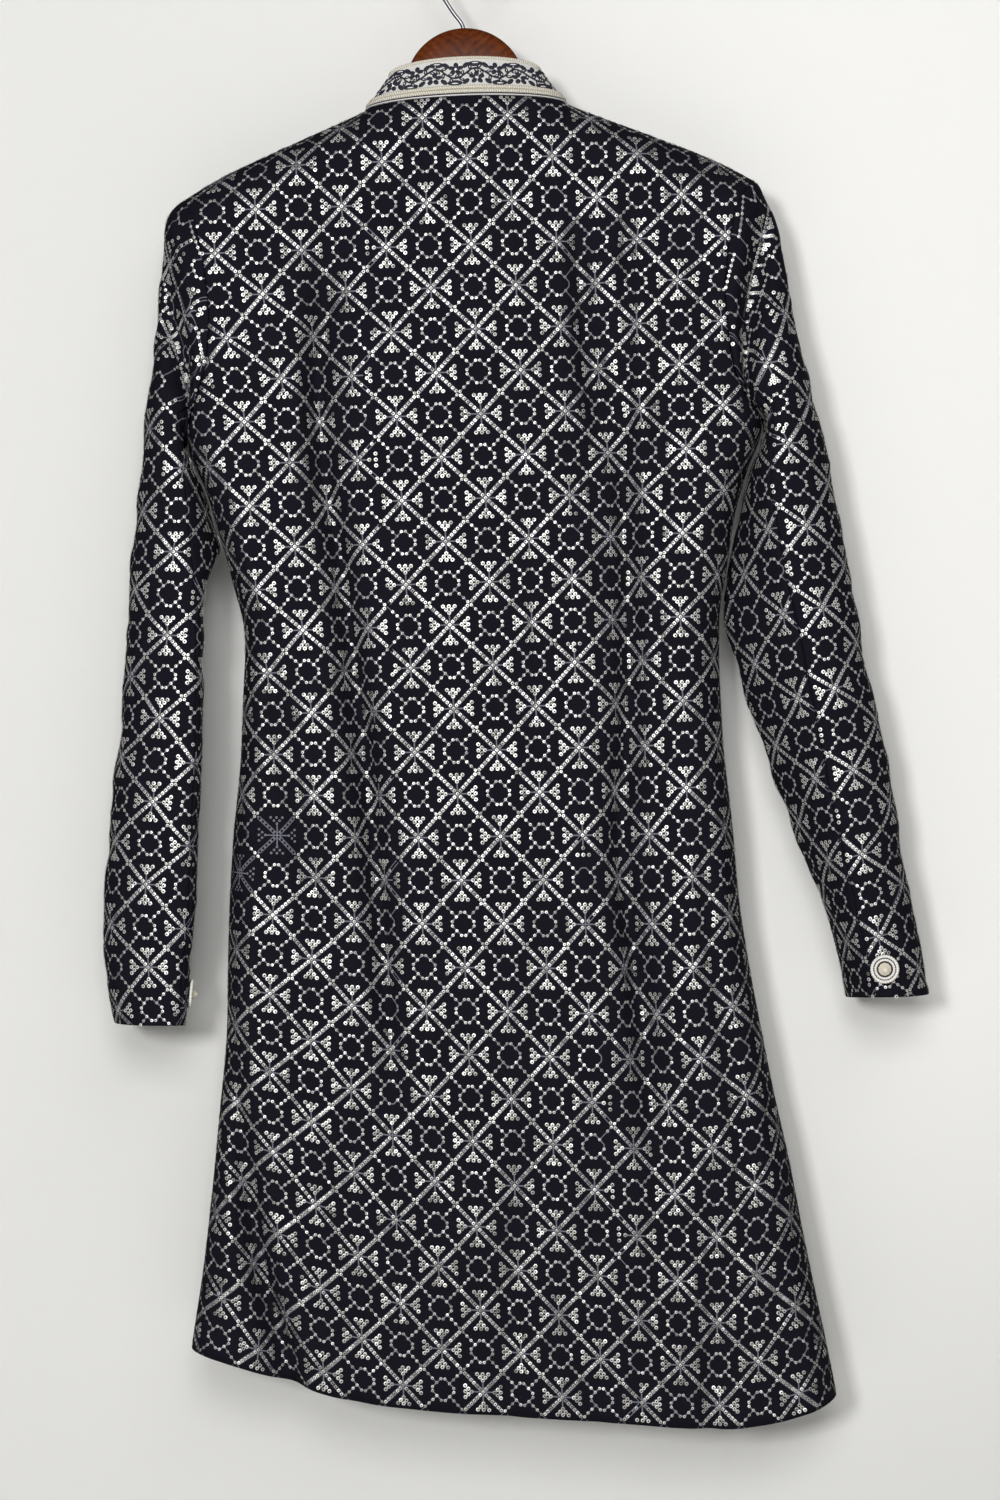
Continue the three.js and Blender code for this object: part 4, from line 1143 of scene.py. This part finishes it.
def makeCuffButton(side):
    node = side + "_cuff_button"
    lo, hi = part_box(node)
    centre = (Vector(lo) + Vector(hi)) / 2
    normal = buttonNormal(node)
    looks = buttonLooks
    seat = aimed(centre - normal * looks["sunk"] * mm, normal)
    base = makeCones(node + "_cup", looks["cup"], seat, inkThread)
    beads = bmesh.new()
    for radius, count, size, height in looks["beadRings"]:
        for angle in anglesRound(count):
            x, y = radius * math.cos(angle), radius * math.sin(angle)
            at = seat @ Matrix.Translation((x * mm, y * mm, height * mm))
            bmesh.ops.create_icosphere(beads, subdivisions=2, radius=size * mm, matrix=at)
    ring = linked(node + "_beads", beads, pearl)
    shadeSmooth(ring.data)
    gem = makeCones(node + "_dome", looks["dome"], seat, honey)
    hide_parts(node)


def buttonNormal(node):
    mesh = next(o for o in bpy.data.objects if o.type == "MESH" and o.name.split(".")[0] == node).data
    places = np.array([v.co[:] for v in mesh.vertices])
    spread = places - places.mean(0)
    axis = np.linalg.svd(spread, full_matrices=False)[2][-1]
    far = spread @ axis
    return Vector(axis if abs(far.max()) > abs(far.min()) else -axis)


for side in ("left", "right"):
    makeCuffButton(side)
print("stage: cuff buttons")


# The hidden side: a placket strip and plain buttons.
placketLooks = {"halfWidth": 17.0, "columns": 15, "pitch": 33.0}
frontButtonLooks = {"radius": 5.4, "flatness": 0.42, "inset": 2.3}


def makePlacket():
    points, normals = frontGrid
    lo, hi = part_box("front_placket")
    halfWidth, columns, pitch = (placketLooks[key] for key in ("halfWidth", "columns", "pitch"))
    centreRow = points[:, points.shape[1] // 2, 2]
    rows = [i for i, z in enumerate(centreRow) if lo[2] / mm < z < hi[2] / mm]
    grid, facing = [], []
    for i in rows:
        xs = points[i, :, 0]
        at = np.interp(np.linspace(-halfWidth, halfWidth, columns), xs, np.arange(len(xs)))
        row, out = seatsOn(points, normals, np.full(columns, float(i)), at)
        grid.append(row)
        facing.append(out)
    grid, facing = np.array(grid), np.array(facing)
    lift = clothWall + seamGap
    uvStrip = np.stack([grid[..., 0] / pitch, -grid[..., 2] / pitch], -1)
    strip = clothShell("placket_cloth", grid + facing * lift, facing, uvStrip, navyCloth)
    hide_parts("front_placket")


makePlacket()


def makeFrontButton(k):
    looks = frontButtonLooks
    node = f"front_button_{k}"
    lo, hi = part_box(node)
    x, z = (lo[0] + hi[0]) / 2, (lo[2] + hi[2]) / 2
    bm = bmesh.new()
    bmesh.ops.create_uvsphere(bm, u_segments=24, v_segments=12, radius=looks["radius"] * mm)
    bmesh.ops.scale(bm, vec=(1, 1, looks["flatness"]), verts=bm.verts[:])
    seat = aimed((x, hi[1] - looks["inset"] * mm, z), (0, 1, 0))
    bmesh.ops.transform(bm, matrix=seat, verts=bm.verts[:])
    piece = linked(node + "_pearl", bm, pearl)
    shadeSmooth(piece.data)
    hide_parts(node)


for number in (1, 2, 3, 4):
    makeFrontButton(number)
print("stage: placket and buttons")


woodLooks = {
    "dark": colour(0.050, 0.0095, 0.0022), "light": colour(0.20, 0.046, 0.009),
    "grain": 130.0, "cloudScale": 28.0, "fleckScale": 240.0,
}


def woodFinish():
    looks = woodLooks
    wood = Finish("hanger_wood", Roughness=0.4, Specular_IOR_Level=0.1, Coat_Weight=0.02, Coat_Roughness=0.2)
    place = wood.node("ShaderNodeTexCoord", output="Object")
    x, y, z = wood.split(place)
    cloud = wood.node("ShaderNodeTexNoise", Vector=place, Scale=looks["cloudScale"], Detail=4.0)
    fleck = wood.node("ShaderNodeTexNoise", Vector=place, Scale=looks["fleckScale"], Detail=3.0)
    wave = ((z - abs(x) * 1.1 + y * 0.4) * looks["grain"] * 6.0 + cloud * 22.0).sum("SINE")
    tone = wave * 0.12 + 0.40 + (fleck - 0.5) * 0.9 + (cloud - 0.5) * 0.5
    tone = tone.sum("MAXIMUM", 0.0).sum("MINIMUM", 1.0)
    wood.feed(Base_Color=wood.blend(tone, looks["dark"], looks["light"]))
    wood.feed(Roughness=fleck * 0.2 + 0.32)
    return wood.material


archRadius, archCentreZ, archEndX, armHalfLength = 47, -122, 42, 210
armStations = Table(
    "x depth height", (0, 7, 52), (43, 7, 46), (62, 7, 34), (90, 8, 29), (150, 10, 26), (196, 11, 23),
    (armHalfLength, 8, 15),
)
seamRest = clothWall + seamGap + 2
flank = Table(
    "x z", (archEndX, archCentreZ + math.sqrt(archRadius**2 - archEndX**2)), (50, -119), (58, -131),
    (68, -138.5), (neckHalfWidth, neckSideZ - seamRest),
)


def woodTop(x):
    arch = archCentreZ + np.sqrt(np.maximum(archRadius**2 - x**2, 0))
    arm = shoulderSeam.read("z", np.maximum(x, neckHalfWidth)) - seamRest
    return np.where(x < archEndX, arch, np.where(x < neckHalfWidth, flank.read("z", x), arm))


def makeWood():
    sides = 28
    half = np.concatenate([np.linspace(0, 78, 40), np.linspace(82, 200, 24), [204, 207, 209, armHalfLength]])
    x = np.concatenate([-half[:0:-1], half])
    depth, height = armStations.read("depth", np.abs(x)), armStations.read("height", np.abs(x))
    end = np.sqrt(1 - np.clip((np.abs(x) - 202) / 8.6, 0, 1) ** 2)
    angle = anglesRound(sides)
    rounded = [np.sign(v) * np.abs(v) ** 0.8 for v in (np.sin(angle), np.cos(angle))]
    centre = woodTop(np.abs(x)) - height / 2
    rings = np.stack(np.broadcast_arrays(
        x[:, None], (depth * end)[:, None] * rounded[0][None],
        centre[:, None] + (height / 2 * end)[:, None] * rounded[1][None],
    ), -1)
    piece = linked("hanger_arms", loft(rings), woodFinish())
    shadeSmooth(piece.data)
    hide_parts("hanger_wood")


hookRadius, wireRadius = 26, 1.6
hookArc = {"from": 205, "to": -38.1, "step": -13.5}
hookLean = [(0, -86), (0, -81), (0, -75.5), (-1.8, -70.5), (-7.2, -63), (-13.5, -52.6), (-19.2, -43)]


def makeHook():
    centreZ = wireRadius - hookRadius
    angles = np.radians(np.arange(hookArc["from"], hookArc["to"], hookArc["step"]))
    arc = [(hookRadius * math.cos(a), centreZ + hookRadius * math.sin(a)) for a in angles]
    places = np.array([(x, 0, z) for x, z in hookLean + arc], float)
    path = curveThrough(places, np.linspace(0, len(places) - 1, 150))
    steel = Finish("hook_wire", Base_Color=colour(0.20, 0.20, 0.21), Metallic=1.0, Roughness=0.3).material
    facing = np.broadcast_to([0.0, -1.0, 0.0], path.shape)
    piece = makeCord("hook_wire", path, facing, wireRadius, steel)
    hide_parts("hanger_hook")


makeWood()
makeHook()
print("stage: hanger")


# Backdrop: a pale wall just behind the garment, with painted light making it lighter to the upper right and
# painted shade darker to the left and below, and a floor.
stageLooks = {
    "wallY": 0.06, "floorZ": -1.5, "floor": colour(0.80, 0.795, 0.77),
    "wallPaintedShade": colour(0.755, 0.752, 0.73), "wallPaintedLight": colour(0.885, 0.88, 0.855),
    "rightFrom": (-0.35, 0.4), "aboveFrom": (-1.3, -0.75),
}


def plane(name, corners, material):
    mesh = bpy.data.meshes.new(name)
    mesh.from_pydata(corners, [], [(0, 1, 2, 3)])
    piece = placed(name, mesh, material)
    return piece


def wallFinish():
    wall = Finish("wall", Roughness=0.9, Specular_IOR_Level=0.2)
    x, _, z = wall.split(wall.node("ShaderNodeTexCoord", output="Object"))
    soft = {"interpolation_type": "SMOOTHSTEP"}
    right, above = (
        wall.node("ShaderNodeMapRange", soft, Value=value, From_Min=low, From_Max=high)
        for value, (low, high) in ((x, stageLooks["rightFrom"]), (z, stageLooks["aboveFrom"]))
    )
    # Painted light and shade: the wall's colour is lighter to the upper right and darker to the left and
    # below.
    wall.feed(Base_Color=wall.blend(right * above, stageLooks["wallPaintedShade"], stageLooks["wallPaintedLight"]))
    clear = wall.tree.nodes.new("ShaderNodeBsdfTransparent")
    pick = wall.tree.nodes.new("ShaderNodeMixShader")
    side = wall.node("ShaderNodeNewGeometry", output="Backfacing")
    wall.tree.links.new(side.socket, pick.inputs[0])
    wall.tree.links.new(wall.shader.outputs[0], pick.inputs[1])
    wall.tree.links.new(clear.outputs[0], pick.inputs[2])
    wall.tree.links.new(pick.outputs[0], wall.tree.nodes["Material Output"].inputs[0])
    return wall.material


def makeStage():
    y, z = stageLooks["wallY"], stageLooks["floorZ"]
    wall = plane("wall", [(-4, y, z), (4, y, z), (4, y, 3), (-4, y, 3)], wallFinish())
    wall.visible_shadow = False
    wall.visible_diffuse = False
    wall.visible_glossy = False
    floorFinish = Finish("floor", Base_Color=stageLooks["floor"], Roughness=0.9).material
    plane("floor", [(-6, -6, z), (6, -6, z), (6, 6, z), (-6, 6, z)], floorFinish)


lampLooks = {
    # place, size, power
    "key": ((-0.85, -3.4, -0.15), 0.45, 56),
    "front": ((0.0, -2.9, 0.4), 1.0, 31),
    "top": ((1.1, -2.6, 1.3), 1.8, 12),
    "back": ((0.8, 2.6, 0.6), 2.2, 30),
}
worldLooks = {"aimZ": -0.6, "colour": (1.0, 0.985, 0.955, 1), "strength": 0.11}


def makeLamps():
    aim = Vector((0, 0, worldLooks["aimZ"]))
    for name, (place, size, power) in lampLooks.items():
        lamp = bpy.data.lights.new(name, "AREA")
        lamp.size = size
        lamp.energy = power
        holder = bpy.data.objects.new(name, lamp)
        holder.location = place
        holder.rotation_euler = (aim - Vector(place)).to_track_quat("-Z", "Y").to_euler()
        bpy.context.scene.collection.objects.link(holder)
    world = bpy.data.worlds.new("studio")
    world.use_nodes = True
    background = world.node_tree.nodes["Background"]
    background.inputs["Color"].default_value = worldLooks["colour"]
    background.inputs["Strength"].default_value = worldLooks["strength"]
    bpy.context.scene.world = world
    bpy.context.scene.view_settings.view_transform = "Standard"


# The view spans 1170 mm of the hanger's plane from top to bottom, and leans by two degrees.
cameraLooks = {
    "distance": 2.3, "x": 0.0089, "z": -0.6387, "span": 1.17, "lean": math.radians(2.0), "sensor": 36,
}


def makeCamera():
    looks = cameraLooks
    lens = bpy.data.cameras.new("camera")
    lens.sensor_fit = "VERTICAL"
    lens.sensor_height = looks["sensor"]
    lens.lens = looks["distance"] * looks["sensor"] / looks["span"]
    camera = bpy.data.objects.new("camera", lens)
    c, s = math.cos(looks["lean"]), math.sin(looks["lean"])
    turn = Matrix(((c, s, 0), (0, 0, -1), (-s, c, 0))).to_4x4()
    camera.matrix_world = Matrix.Translation((looks["x"], -looks["distance"], looks["z"])) @ turn
    bpy.context.scene.collection.objects.link(camera)
    bpy.context.scene.camera = camera


makeStage()
makeLamps()
makeCamera()
print("stage: camera and lamps")
